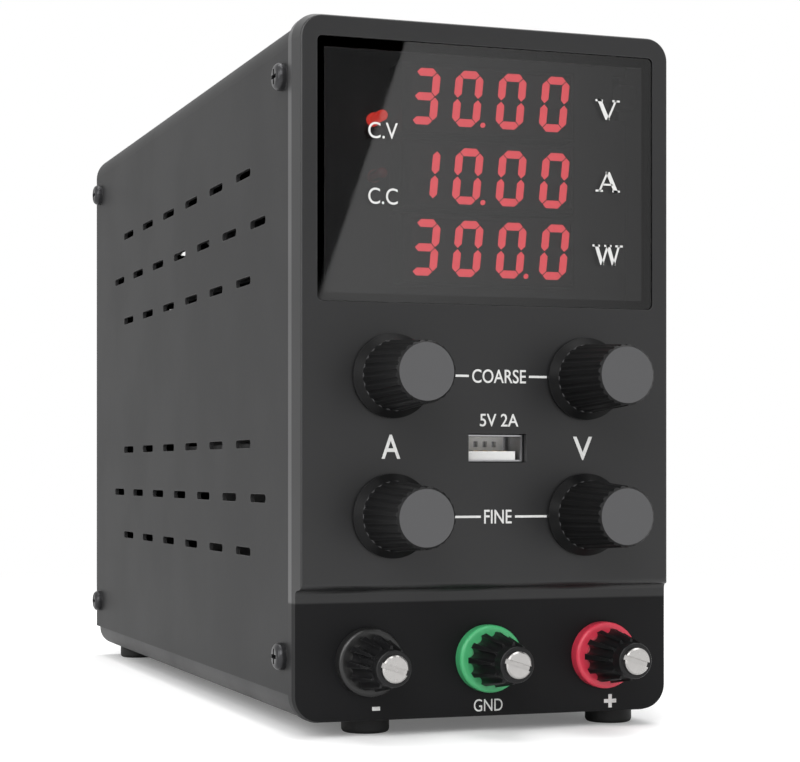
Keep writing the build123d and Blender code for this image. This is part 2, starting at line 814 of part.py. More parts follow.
# USB socket: a folded shell between the face and the board, with the contact tongue inside
usb_front_y = front_y + usb_setback
usb_length = board_front_y - usb_front_y
usb_middle_z = base_z + usb_z
with BuildPart() as usb_shell:
    with BuildSketch(front_plane(board_front_y)):
        with Locations((usb_x, usb_middle_z)):
            Rectangle(
                usb_opening_width + 2 * usb_shell_thick, usb_opening_height + 2 * usb_shell_thick
            )
    extrude(amount=usb_length)
    with BuildSketch(front_plane(usb_front_y)):
        with Locations((usb_x, usb_middle_z)):
            Rectangle(usb_opening_width, usb_opening_height)
    extrude(amount=-(usb_length - usb_shell_thick), mode=Mode.SUBTRACT)
finish(usb_shell, "usb_shell")
with BuildPart() as usb_tongue:
    tongue_z = usb_middle_z - usb_opening_height / 2
    with BuildSketch(front_plane(board_front_y - usb_shell_thick)):
        with Locations((usb_x, tongue_z)):
            Rectangle(
                usb_tongue_width, usb_tongue_thick, align=(Align.CENTER, Align.MIN)
            )
    extrude(amount=usb_length - usb_shell_thick - usb_tongue_setback)
    with BuildSketch(front_plane(board_front_y - usb_shell_thick)):
        with Locations((usb_x, tongue_z)):
            Rectangle(usb_tongue_width, usb_opening_height, align=(Align.CENTER, Align.MIN))
        with Locations((usb_x, tongue_z + (usb_tongue_thick + usb_opening_height) / 2)):
            with GridLocations(usb_contact_pitch, 0, usb_contacts, 1):
                Rectangle(usb_contact_width, usb_contact_height, mode=Mode.SUBTRACT)
    extrude(amount=usb_block_thick)
finish(usb_tongue, "usb_tongue")

# Binding posts: a coloured flange on the face, a slotted stud, and a fluted cap that screws along it
cap_start = flange_thick + washer_thick + 2 * seat_gap
with BuildPart() as flange:
    Cylinder(flange_diameter / 2, flange_thick, align=ON_SEAT)
    fillet(flange.edges().group_by(Axis.Z)[-1], flange_round)
    Cylinder(neck_diameter / 2, panel_thick, align=UNDER_SEAT)
    Hole(stud_diameter / 2)
with BuildPart() as stud:
    Cylinder(stud_diameter / 2, stud_reach, align=ON_SEAT)
    chamfer(stud.edges().group_by(Axis.Z)[-1], seam_gap)
    Cylinder(stud_diameter / 2, stud_tail, align=UNDER_SEAT)
    with Locations(Plane.XY.offset(stud_reach).rotated((0, 0, -stud_slot_tilt))):
        Box(
            stud_diameter, stud_slot_width, stud_slot_depth, align=UNDER_SEAT, mode=Mode.SUBTRACT
        )
    with Locations(Plane.YZ.offset(0)):
        with Locations((0, cap_start + wire_hole_diameter)):
            Cylinder(wire_hole_diameter / 2, stud_diameter, mode=Mode.SUBTRACT)
with BuildPart() as clamp_washer:
    with Locations((0, 0, flange_thick + seat_gap)):
        Cylinder(washer_diameter / 2, washer_thick, align=ON_SEAT)
    Cylinder(stud_diameter / 2 + running_gap, stud_reach, mode=Mode.SUBTRACT)
with BuildPart() as cap:
    with BuildSketch(Plane.XY.offset(cap_start)):
        scalloped(cap_root_diameter / 2, cap_flutes, cap_flute_diameter / 2, cap_flute_depth)
    with BuildSketch(Plane.XY.offset(cap_end)):
        scalloped(cap_end_diameter / 2, cap_flutes, cap_flute_diameter / 2, cap_flute_depth)
    loft(ruled=True)
    with Locations((0, 0, cap_end)):
        Cylinder(collar_diameter / 2, collar_end - cap_end, align=ON_SEAT)
    fillet(cap.edges().group_by(Axis.Z)[-1], seam_gap)
    Cylinder(stud_diameter / 2 + running_gap, 2 * stud_reach, mode=Mode.SUBTRACT)
with BuildPart() as bush:
    Cylinder(flange_diameter / 2 - flange_round, bush_thick, align=UNDER_SEAT)
    Hole(stud_diameter / 2)
with BuildPart() as solder_lug:
    with BuildSketch():
        SlotCenterToCenter(lug_length - lug_width, lug_width, rotation=90)
        with Locations((0, (lug_length - lug_width) / 2)):
            Circle(wire_hole_diameter / 2, mode=Mode.SUBTRACT)
        with Locations((0, (lug_width - lug_length) / 2)):
            Circle(stud_diameter / 2, mode=Mode.SUBTRACT)
    extrude(amount=lug_thick)
for name, (x, z) in post_places.items():
    copies(flange.part, [facing_front(x, low_face_y, z)], f"{name}_post_flange")
    copies(clamp_washer.part, [facing_front(x, low_face_y, z)], f"{name}_clamp_washer")
    copies(cap.part, [facing_front(x, low_face_y, z)], f"{name}_post_cap")
copies(stud.part, [facing_front(x, low_face_y, z) for x, z in post_places.values()], "post_studs")
copies(bush.part, [facing_front(x, low_back_y, z) for x, z in post_places.values()], "post_bushes")
bush_back_y = low_back_y + bush_thick
lug_z = (lug_length - lug_width) / 2
copies(
    solder_lug.part,
    [facing_rear(x, bush_back_y, z + lug_z) for x, z in post_places.values()],
    "solder_lugs",
)
copies(
    hex_nut(post_nut_flats, post_nut_thick, stud_diameter),
    [facing_rear(x, bush_back_y + lug_thick, z) for x, z in post_places.values()],
    "post_nuts",
)

# Fan: a square frame with a round duct, motor mount and struts, and a bladed rotor on an axle
fan_front_y = rear_inner_y - fan_depth
duct_outer = fan_bore_diameter / 2 + fan_wall
fan_flange = fan_corner
with BuildPart() as fan_frame:
    with BuildSketch(front_plane(rear_inner_y)):
        with Locations((0, fan_middle_z)):
            RectangleRounded(fan_size, fan_size, fan_corner)
    extrude(amount=fan_flange)
    with BuildSketch(front_plane(fan_front_y + fan_flange)):
        with Locations((0, fan_middle_z)):
            RectangleRounded(fan_size, fan_size, fan_corner)
    extrude(amount=fan_flange)
    with BuildSketch(front_plane(rear_inner_y)):
        with Locations((0, fan_middle_z)):
            Circle(duct_outer)
            Rectangle(fan_size, fan_size, mode=Mode.INTERSECT)
    extrude(amount=fan_depth)
    with BuildSketch(front_plane(rear_inner_y)):
        with Locations((0, fan_middle_z)):
            Circle(fan_bore_diameter / 2)
        with Locations(*fan_holes):
            Circle(fan_screw_diameter / 2 + running_gap)
    extrude(amount=fan_depth, mode=Mode.SUBTRACT)
    with BuildSketch(front_plane(fan_front_y + fan_strut_depth)):
        with Locations((0, fan_middle_z)):
            Circle(fan_motor_diameter / 2)
            with PolarLocations(fan_bore_diameter / 4 + fan_motor_diameter / 4, 4, start_angle=45):
                Rectangle((fan_bore_diameter - fan_motor_diameter) / 2 + fan_wall, fan_strut_width)
    extrude(amount=fan_strut_depth)
    with Locations(facing_rear(0, fan_front_y + fan_strut_depth, fan_middle_z)):
        Cylinder(fan_motor_diameter / 4, fan_motor_depth, align=ON_SEAT)
        Cylinder(fan_axle_diameter / 2 + running_gap, fan_depth, mode=Mode.SUBTRACT)
finish(fan_frame, "fan_frame")

hub_half = fan_hub_diameter / 2
tip_half = fan_bore_diameter / 2 - fan_tip_gap
hub_length = fan_hub_depth - small_edge
with BuildPart() as blade:
    for radius, pitch in (
        (hub_half - fan_blade_thick, fan_blade_pitch),
        (tip_half + 1, fan_blade_pitch - fan_blade_twist),
    ):
        blade_plane = Plane(origin=(radius, 0, 0), x_dir=(0, 1, 0), z_dir=(1, 0, 0))
        with BuildSketch(blade_plane.rotated((0, 0, pitch))):
            Rectangle(fan_hub_diameter * fan_blade_chord, fan_blade_thick)
    loft()
with BuildPart() as fan_rotor:
    with PolarLocations(0, fan_blades):
        add(blade.part)
    Cylinder(tip_half, fan_hub_depth - 2 * small_edge, mode=Mode.INTERSECT)
    Cylinder(hub_half, hub_length)
    fillet(fan_rotor.edges().group_by(Axis.Z)[-1], small_edge)
    with Locations((0, 0, -hub_length / 2)):
        Cylinder(
            hub_half - fan_wall, hub_length - 2 * fan_wall, align=ON_SEAT, mode=Mode.SUBTRACT
        )
    with Locations((0, 0, hub_length / 2 - fan_wall)):
        Cylinder(fan_axle_diameter / 2, fan_axle_length, align=UNDER_SEAT)
rotor_y = fan_front_y + fan_strut_depth + seam_gap + hub_length / 2
copies(fan_rotor.part, [facing_rear(0, rotor_y, fan_middle_z)], "fan_rotor")

# Fan guard: wire rings on two crossed spokes that bend down to a lug at each screw
spoke_low = guard_lug_thick + guard_bite
spoke_high = spoke_low + guard_rise
ring_height = spoke_high + guard_wire - guard_bite
spoke_end = fan_hole_spacing / sqrt(2)
spoke_foot = spoke_end - guard_lug_diameter / 2
spoke_rise = guard_ring_diameters[-1] / 2 + guard_wire
with BuildPart() as fan_guard:
    for ring_diameter in guard_ring_diameters:
        with Locations((0, 0, ring_height)):
            Torus(ring_diameter / 2, guard_wire / 2)
    for turn in (45, 135):
        spoke_plane = Plane(
            origin=(0, 0, 0),
            x_dir=(cos(radians(turn)), sin(radians(turn)), 0),
            z_dir=(sin(radians(turn)), -cos(radians(turn)), 0),
        )
        with BuildLine(spoke_plane):
            FilletPolyline(
                (-spoke_end, spoke_low),
                (-spoke_foot, spoke_low),
                (-spoke_rise, spoke_high),
                (spoke_rise, spoke_high),
                (spoke_foot, spoke_low),
                (spoke_end, spoke_low),
                radius=guard_wire,
            )
        spoke_start = spoke_plane.from_local_coords((-spoke_end, spoke_low, 0))
        with BuildSketch(Plane(origin=spoke_start, z_dir=spoke_plane.x_dir)):
            Circle(guard_wire / 2)
        sweep()
    with PolarLocations(spoke_end, 4, start_angle=45):
        Cylinder(guard_lug_diameter / 2, guard_lug_thick, align=ON_SEAT)
    with PolarLocations(spoke_end, 4, start_angle=45):
        Cylinder(fan_screw_diameter / 2 + screw_gap, guard_lug_thick, align=ON_SEAT, mode=Mode.SUBTRACT)
        with Locations((0, 0, guard_lug_thick)):
            Cylinder(fan_screw_head / 2, ring_height, align=ON_SEAT, mode=Mode.SUBTRACT)
copies(fan_guard.part, [facing_rear(0, rear_face_y, fan_middle_z)], "fan_guard")

# Fan screws: through the guard, the panel and the frame, with a nut on the inner flange
fan_screw = pan_screw(
    fan_screw_head, rear_screw_head_height, fan_screw_diameter,
    guard_lug_thick + rear_thick + fan_depth + 2 * fan_nut_thick,
)
copies(
    fan_screw, [facing_rear(x, rear_face_y + guard_lug_thick, z) for x, z in fan_holes],
    "fan_screws",
)
copies(
    hex_nut(fan_nut_flats, fan_nut_thick, fan_screw_diameter),
    [facing_front(x, fan_front_y, z) for x, z in fan_holes],
    "fan_nuts",
)

# Mains inlet: a flanged socket with a six-sided recess, three blades in it and tails behind
with BuildPart() as mains_inlet:
    with BuildSketch(front_plane(rear_face_y)):
        with Locations((inlet_x, inlet_middle_z)):
            SlotCenterToCenter(inlet_screw_spacing, inlet_flange_width - inlet_screw_spacing)
            inlet_outline(inlet_body_width + inlet_flange_thick, inlet_flange_height, inlet_chamfer)
    extrude(amount=-inlet_flange_thick)
    with BuildSketch(front_plane(rear_face_y)):
        with Locations((inlet_x, inlet_middle_z)):
            inlet_outline(inlet_body_width, inlet_body_height, inlet_chamfer)
    extrude(amount=inlet_body_depth)
    with BuildSketch(front_plane(rear_face_y + inlet_flange_thick)):
        with Locations((inlet_x, inlet_middle_z)):
            inlet_outline(inlet_recess_width, inlet_recess_height, inlet_chamfer)
    extrude(amount=inlet_recess_depth, mode=Mode.SUBTRACT)
    with BuildSketch(front_plane(rear_face_y + inlet_flange_thick)):
        with Locations(*inlet_holes):
            Circle(rear_screw_diameter / 2 + screw_gap)
    extrude(amount=inlet_flange_thick, mode=Mode.SUBTRACT)
    inlet_pins = [
        (inlet_x - inlet_pin_pitch / 2, inlet_middle_z - inlet_pin_rise / 2),
        (inlet_x, inlet_middle_z + inlet_pin_rise / 2),
        (inlet_x + inlet_pin_pitch / 2, inlet_middle_z - inlet_pin_rise / 2),
    ]
    inlet_floor_y = rear_face_y + inlet_flange_thick - inlet_recess_depth
    with BuildSketch(front_plane(inlet_floor_y)):
        with Locations(*inlet_pins):
            Rectangle(inlet_pin_thick, inlet_pin_width)
    extrude(amount=inlet_body_depth, mode=Mode.SUBTRACT)
finish(mains_inlet, "mains_inlet")
with BuildPart() as inlet_blades:
    with BuildSketch(front_plane(inlet_floor_y + inlet_pin_length)):
        with Locations(*inlet_pins):
            Rectangle(inlet_pin_thick, inlet_pin_width)
    extrude(
        amount=inlet_pin_length + inlet_body_depth + inlet_flange_thick
        - inlet_recess_depth + inlet_tail
    )
finish(inlet_blades, "inlet_blades")
# Power switch: a framed body with an open front, spade tails, and a rocker on side pins
rocker_cavity = rocker_half + rocker_swing_gap
cavity_width = rocker_width + 2 * rocker_side_gap
pin_reach = (switch_body_width - cavity_width) / 2 - rocker_side_gap
with BuildPart() as switch_body:
    with BuildSketch(front_plane(rear_face_y)):
        with Locations((switch_x, switch_middle_z)):
            RectangleRounded(switch_bezel_width, switch_bezel_height, small_edge)
    extrude(amount=-switch_bezel_thick)
    with BuildSketch(front_plane(rear_face_y)):
        with Locations((switch_x, switch_middle_z)):
            Rectangle(switch_body_width, switch_body_height)
    extrude(amount=switch_body_depth)
    with BuildSketch(front_plane(rear_face_y + switch_bezel_thick)):
        with Locations((switch_x, switch_middle_z)):
            Rectangle(cavity_width, 2 * rocker_cavity)
    extrude(amount=switch_bezel_thick + rocker_rise + rocker_rise, mode=Mode.SUBTRACT)
    with Locations(facing_side(1, switch_x, rear_face_y, switch_middle_z)):
        Cylinder(
            rocker_pin_diameter / 2 + running_gap, cavity_width + 2 * (pin_reach + seat_gap),
            mode=Mode.SUBTRACT,
        )
finish(switch_body, "switch_body")
with BuildPart() as switch_rocker:
    rocker_side = Plane(
        origin=(switch_x, rear_face_y, switch_middle_z),
        x_dir=(0, cos(radians(rocker_throw)), sin(radians(rocker_throw))),
        z_dir=(1, 0, 0),
    )
    with BuildSketch(rocker_side):
        with BuildLine():
            Polyline(
                (-rocker_dish, rocker_half),
                (rocker_rise, rocker_half),
                (rocker_rise - rocker_dish, 0),
                (rocker_rise, -rocker_half),
                (-rocker_dish, -rocker_half),
            )
            ThreePointArc(
                (-rocker_dish, -rocker_half), (-rocker_rise, 0), (-rocker_dish, rocker_half)
            )
        make_face()
    extrude(amount=rocker_width / 2, both=True)
    with Locations(facing_side(1, switch_x, rear_face_y, switch_middle_z)):
        Cylinder(rocker_pin_diameter / 2, rocker_width + 2 * (rocker_side_gap + pin_reach))
finish(switch_rocker, "switch_rocker")
with BuildPart() as switch_tails:
    with BuildSketch(front_plane(rear_face_y - switch_body_depth)):
        with Locations((switch_x, switch_middle_z)):
            with GridLocations(0, switch_body_height / 2, 1, 2):
                Rectangle(inlet_pin_width, board_thick / 2)
    extrude(amount=inlet_tail)
finish(switch_tails, "switch_tails")

# Voltage selector: a slotted plate on the panel, its body behind, and a sliding tab in the slot
selector_window_height = selector_slider_height + selector_travel + 4 * selector_gap
slot_half = selector_window_height / 2
with BuildPart() as selector_body:
    with BuildSketch(front_plane(rear_face_y)):
        with Locations((selector_x, selector_middle_z)):
            RectangleRounded(selector_flange_width, selector_flange_height, small_edge)
    extrude(amount=-selector_flange_thick)
    with BuildSketch(front_plane(rear_face_y)):
        with Locations((selector_x, selector_middle_z)):
            Rectangle(selector_body_width, selector_body_height)
    extrude(amount=selector_body_depth)
    with BuildSketch(front_plane(rear_face_y + selector_flange_thick)):
        with Locations((selector_x, selector_middle_z)):
            Rectangle(selector_window_width, selector_window_height)
    extrude(amount=selector_body_depth, mode=Mode.SUBTRACT)
    with BuildSketch(front_plane(rear_face_y + selector_flange_thick)):
        with Locations(*selector_holes):
            Circle(rear_screw_diameter / 2 + screw_gap)
    extrude(amount=selector_flange_thick, mode=Mode.SUBTRACT)
finish(selector_body, "selector_body")
with BuildPart() as selector_tab:
    tab_low_z = selector_middle_z - slot_half + selector_gap
    tab_seat_y = rear_face_y + selector_flange_thick - selector_body_depth + selector_gap
    with BuildSketch(front_plane(tab_seat_y)):
        with Locations((selector_x, tab_low_z)):
            Rectangle(
                selector_window_width - 2 * selector_gap, selector_slider_height,
                align=(Align.CENTER, Align.MIN),
            )
    extrude(amount=-(rear_face_y - selector_slider_rise - tab_seat_y))
    with BuildSketch(front_plane(rear_face_y - selector_slider_rise)):
        with Locations((selector_x, tab_low_z + selector_slider_height / 2)):
            with GridLocations(0, selector_slider_height / 4, 1, 3):
                Rectangle(selector_window_width - 2 * selector_gap, selector_gap * 2)
    extrude(amount=selector_gap * 2, mode=Mode.SUBTRACT)
finish(selector_tab, "selector_tab")

# Screws that hold the inlet and the selector to the rear panel
rear_screw = pan_screw(
    rear_screw_head, rear_screw_head_height, rear_screw_diameter, rear_screw_length
)
rear_screw_seats = [
    facing_rear(x, rear_face_y + inlet_flange_thick, z) for x, z in inlet_holes
] + [facing_rear(x, rear_face_y + selector_flange_thick, z) for x, z in selector_holes]
copies(rear_screw, rear_screw_seats, "rear_screws")

# Power board on four standoffs, with its screws
with BuildPart() as power_board:
    board_start_y = front_y + power_board_front
    board_end_y = rear_inner_y - power_board_rear
    with BuildSketch(Plane.XY.offset(power_board_z)):
        with Locations((0, (board_start_y + board_end_y) / 2)):
            Rectangle(power_board_width, board_end_y - board_start_y)
        with Locations(*standoff_places):
            Circle(rear_screw_diameter / 2 + screw_gap, mode=Mode.SUBTRACT)
    extrude(amount=board_thick)
finish(power_board, "power_board")
with BuildPart() as standoff:
    with BuildSketch():
        RegularPolygon(standoff_flats / 2, 6, major_radius=False)
    extrude(amount=standoff_height)
    Cylinder(rear_screw_diameter / 2, pan_thick, align=UNDER_SEAT)
    with Locations((0, 0, standoff_height)):
        Hole(rear_screw_diameter / 2, depth=standoff_height - pan_thick)
copies(standoff.part, [Plane(origin=(x, y, pan_top)) for x, y in standoff_places], "standoffs")
power_board_screw = pan_screw(
    rear_screw_head, rear_screw_head_height, rear_screw_diameter, board_thick + standoff_height / 2
)
copies(
    power_board_screw,
    [Plane(origin=(x, y, power_board_top)) for x, y in standoff_places],
    "power_board_screws",
)

# Heatsinks: two upright extrusions with fins towards the walls, and power devices on their faces
heatsink_middle_y = front_y + heatsink_y
heatsink_middle_z = power_board_top + heatsink_height / 2
fin_pitch = (heatsink_height - heatsink_fin_thick) / (heatsink_fins - 1)
with BuildPart() as heatsinks:
    for side in (-1, 1):
        with BuildSketch(front_plane(heatsink_middle_y + heatsink_length / 2)):
            with Locations((side * (heatsink_x + heatsink_base / 2), heatsink_middle_z)):
                Rectangle(heatsink_base, heatsink_height)
            with Locations((side * (heatsink_x + (heatsink_base + heatsink_fin_reach) / 2), heatsink_middle_z)):
                with GridLocations(0, fin_pitch, 1, heatsink_fins):
                    Rectangle(heatsink_base + heatsink_fin_reach, heatsink_fin_thick)
        extrude(amount=heatsink_length)
finish(heatsinks, "heatsinks")
device_places = [
    (heatsink_middle_y + (index - (device_count - 1) / 2) * device_pitch, power_board_top + device_height)
    for index in range(device_count)
]
with BuildPart() as power_devices:
    for side in (-1, 1):
        for y, z in device_places:
            with Locations((side * (heatsink_x - device_thick / 2), y, z)):
                Box(device_thick, device_width, device_height)
            with Locations((side * (heatsink_x - device_thick / 2), y, power_board_top)):
                with GridLocations(0, device_width / 3, 1, 3):
                    Box(
                        small_edge, small_edge, device_height, align=ON_SEAT,
                    )
finish(power_devices, "power_devices")

# Transformer: a two-piece core round a taped winding on a flanged bobbin
transformer_middle_y = front_y + transformer_y
with BuildPart() as transformer_core:
    with Locations((0, transformer_middle_y, power_board_top + bobbin_reach)):
        Box(transformer_width, transformer_length, transformer_height - bobbin_reach, align=ON_SEAT)
    for side in (-1, 1):
        with Locations(
            (side * transformer_width / 4, transformer_middle_y, power_board_top + bobbin_reach)
        ):
            Box(
                transformer_width / 4, transformer_length * winding_share,
                transformer_height, align=ON_SEAT,
                mode=Mode.SUBTRACT,
            )
finish(transformer_core, "transformer_core")
with BuildPart() as transformer_winding:
    for side in (-1, 1):
        with Locations(
            (side * transformer_width / 4, transformer_middle_y, power_board_top)
        ):
            Box(
                transformer_width / 4 - 2 * seat_gap, transformer_length * winding_share - 2 * seat_gap,
                transformer_height + bobbin_reach, align=ON_SEAT,
            )
finish(transformer_winding, "transformer_winding")

# Capacitors: a row of small cans at the output and a pair of large ones at the mains side
with BuildPart() as capacitors:
    for middle_y, count, can_diameter, can_height in (
        (front_y + output_capacitor_y, 3, output_capacitor_diameter, output_capacitor_height),
        (front_y + bulk_capacitor_y, 2, bulk_capacitor_diameter, bulk_capacitor_height),
    ):
        with BuildSketch(Plane.XY.offset(power_board_top)):
            with Locations((0, middle_y)):
                with GridLocations(can_diameter + small_edge, 0, count, 1):
                    Circle(can_diameter / 2)
        extrude(amount=can_height)
        fillet(capacitors.edges(Select.LAST).group_by(Axis.Z)[-1], small_edge)
finish(capacitors, "capacitors")

# Output choke: a wound ring standing on the board, above the devices' height between the heatsinks
with BuildPart() as output_choke:
    with BuildSketch(front_plane(front_y + choke_y + choke_thick / 2)):
        with Locations((0, power_board_top + choke_diameter / 2)):
            Circle(choke_diameter / 2)
            Circle(choke_hole_diameter / 2, mode=Mode.SUBTRACT)
    extrude(amount=choke_thick)
    fillet(output_choke.edges(), small_edge * 2)
finish(output_choke, "output_choke")

# Mains fuse: a glass tube between two end caps on the board
with BuildPart() as mains_fuse:
    with Locations((0, front_y + fuse_y, power_board_top + fuse_diameter / 2)):
        Cylinder(fuse_diameter / 2 - seat_gap * 2, fuse_length, rotation=(0, 90, 0))
        with GridLocations(fuse_length * fuse_clip_share, 0, 2, 1):
            Cylinder(fuse_diameter / 2, fuse_length / 4, rotation=(0, 90, 0))
finish(mains_fuse, "mains_fuse")
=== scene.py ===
"""Looks of a bench power supply: finishes, display, lettering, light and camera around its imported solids."""

import json
import logging
import math
from dataclasses import dataclass
from enum import Enum

import bmesh
import bpy
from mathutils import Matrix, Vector

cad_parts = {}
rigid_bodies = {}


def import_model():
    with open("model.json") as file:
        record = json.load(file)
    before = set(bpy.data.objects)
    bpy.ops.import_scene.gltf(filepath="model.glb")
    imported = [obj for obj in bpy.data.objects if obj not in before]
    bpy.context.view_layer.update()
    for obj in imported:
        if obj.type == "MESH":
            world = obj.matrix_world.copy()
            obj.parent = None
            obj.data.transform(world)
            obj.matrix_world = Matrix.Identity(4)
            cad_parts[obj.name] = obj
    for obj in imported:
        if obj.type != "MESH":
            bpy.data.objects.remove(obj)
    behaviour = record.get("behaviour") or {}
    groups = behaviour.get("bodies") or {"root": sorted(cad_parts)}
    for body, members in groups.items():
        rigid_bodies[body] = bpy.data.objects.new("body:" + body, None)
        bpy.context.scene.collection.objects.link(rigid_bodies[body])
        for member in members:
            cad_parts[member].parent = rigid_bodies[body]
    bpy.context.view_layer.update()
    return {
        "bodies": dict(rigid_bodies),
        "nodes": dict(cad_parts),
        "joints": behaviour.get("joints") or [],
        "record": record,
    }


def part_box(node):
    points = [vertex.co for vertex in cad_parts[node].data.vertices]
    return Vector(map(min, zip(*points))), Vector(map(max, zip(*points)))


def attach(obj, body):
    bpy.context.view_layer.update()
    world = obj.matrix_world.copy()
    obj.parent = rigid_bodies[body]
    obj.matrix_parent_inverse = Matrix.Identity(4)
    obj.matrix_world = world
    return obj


MM = 0.001
PHOTO_WIDTH = 800.0
PHOTO_HEIGHT = 762.0
DUST_COLOR = (0.3, 0.29, 0.27)
DUST_ROUGHNESS = 0.5
PRINT_THICK = 0.03

Color = tuple[float, float, float]
Point = tuple[float, float]
Socket = bpy.types.NodeSocket

log = logging.getLogger("bench_supply")


def placed(name: str, data: bpy.types.ID) -> bpy.types.Object:
    """Make an object of some data and link it into the scene."""
    thing = bpy.data.objects.new(name, data)
    bpy.context.scene.collection.objects.link(thing)
    return thing


def meshed(name: str, mesh: bmesh.types.BMesh) -> bpy.types.Object:
    """Turn a built mesh into an object of the scene."""
    data = bpy.data.meshes.new(name)
    mesh.to_mesh(data)
    mesh.free()
    return placed(name, data)


class Sheen(Enum):
    """How a surface scatters light: the kinds of shader that the finishes use."""

    SOLID = "solid"
    GLASS = "glass"
    GLOW = "glow"


class Wiring:
    """Adds nodes to one tree and joins their sockets."""

    def __init__(self, tree: bpy.types.NodeTree) -> None:
        """Start on the tree of a material, a world or a group."""
        self.tree = tree

    def add(self, kind: str, **settings: object) -> bpy.types.Node:
        """Add a node and set its properties.

        Args:
            kind: The type name of the node.
            **settings: Properties of the node by name.

        Returns:
            The new node.
        """
        node = self.tree.nodes.new(kind)
        for name, value in settings.items():
            setattr(node, name, value)
        return node

    def feed(self, target: Socket, source: Socket | float | tuple) -> None:
        """Give an input a link or a constant.

        Args:
            target: The input socket.
            source: An output socket to link, or a value to store.
        """
        if isinstance(source, bpy.types.NodeSocket):
            self.tree.links.new(source, target)
        elif isinstance(source, tuple) and len(source) == 3 and target.type == "RGBA":
            target.default_value = (*source, 1.0)
        else:
            target.default_value = source

    def math(self, operation: str, first: Socket | float, second: Socket | float = 0.0,
             third: Socket | float = 0.0, clamp: bool = False) -> Socket:
        """Add a Math node.

        Args:
            operation: The operation's type name.
            first: The first operand.
            second: The second operand.
            third: The third operand, for the operations that have one.
            clamp: Whether the result is held between 0 and 1.

        Returns:
            The result.
        """
        node = self.add("ShaderNodeMath", operation=operation, use_clamp=clamp)
        for socket, value in zip(node.inputs, (first, second, third)):
            self.feed(socket, value)
        return node.outputs[0]

    def blend(self, mask: Socket | float, low: Socket | tuple, high: Socket | tuple) -> Socket:
        """Mix two colours by a mask.

        Args:
            mask: 0 for the low colour and 1 for the high colour.
            low: The colour where the mask is 0.
            high: The colour where the mask is 1.

        Returns:
            The mixed colour.
        """
        node = self.add("ShaderNodeMix", data_type="RGBA")
        self.feed(node.inputs[0], mask)
        self.feed(node.inputs[6], low)
        self.feed(node.inputs[7], high)
        return node.outputs[2]

    def surface(self, shader: bpy.types.Node, kind: str = "Material") -> None:
        """End the tree of a material or a world with a shader."""
        self.feed(self.add(f"ShaderNodeOutput{kind}").inputs["Surface"], shader.outputs[0])

    def along(self, source: Socket, axis: str) -> Socket:
        """Take one axis of a vector."""
        split = self.add("ShaderNodeSeparateXYZ")
        self.feed(split.inputs[0], source)
        return split.outputs[axis]

    def seen(self) -> Socket:
        """Give 1 for rays of the camera, of gloss and through glass, and 0 for the rest."""
        rays = self.add("ShaderNodeLightPath").outputs
        mirrored = self.math("MAXIMUM", rays["Is Glossy Ray"], rays["Is Transmission Ray"])
        return self.math("MAXIMUM", rays["Is Camera Ray"], mirrored)

    def group(self, tree: bpy.types.NodeTree, **settings: float) -> bpy.types.NodeOutputs:
        """Add a shared group with its settings, and give its outputs by name."""
        node = self.add("ShaderNodeGroup", node_tree=tree)
        for name, value in settings.items():
            node.inputs[name].default_value = value
        return node.outputs

    def place(self) -> Socket:
        """Give the place on the object, in metres."""
        return self.add("ShaderNodeTexCoord").outputs["Object"]

    def ramp(self, value: Socket, start: float, end: float, low: float = 0.0, high: float = 1.0) -> Socket:
        """Map a range of a value smoothly to another range.

        Args:
            value: The value to map.
            start: Where the low result ends.
            end: Where the high result starts.
            low: The result below the start.
            high: The result above the end.

        Returns:
            The mapped value.
        """
        node = self.add("ShaderNodeMapRange", interpolation_type="SMOOTHSTEP")
        for socket, given in zip(node.inputs, (value, start, end, low, high)):
            self.feed(socket, given)
        return node.outputs[0]

    def noise(self, place: Socket, scale: Socket | float, detail: float = 2.0) -> Socket:
        """Add a noise texture in metres of the object.

        Args:
            place: The coordinates to read.
            scale: Grains to a metre.
            detail: How many finer layers the noise has.

        Returns:
            The noise, from 0 to 1 about a mean of a half.
        """
        node = self.add("ShaderNodeTexNoise")
        node.inputs["Detail"].default_value = detail
        self.feed(node.inputs["Vector"], place)
        self.feed(node.inputs["Scale"], scale)
        return node.outputs[0]


def rectangle(left: float, right: float, low: float, high: float) -> list[Point]:
    """Outline a rectangle."""
    return [(left, low), (right, low), (right, high), (left, high)]


def blank(holder: bpy.types.Material | bpy.types.World) -> Wiring:
    """Empty the node tree of a material or a world, ready to be wired."""
    holder.use_nodes = True
    holder.node_tree.nodes.clear()
    return Wiring(holder.node_tree)


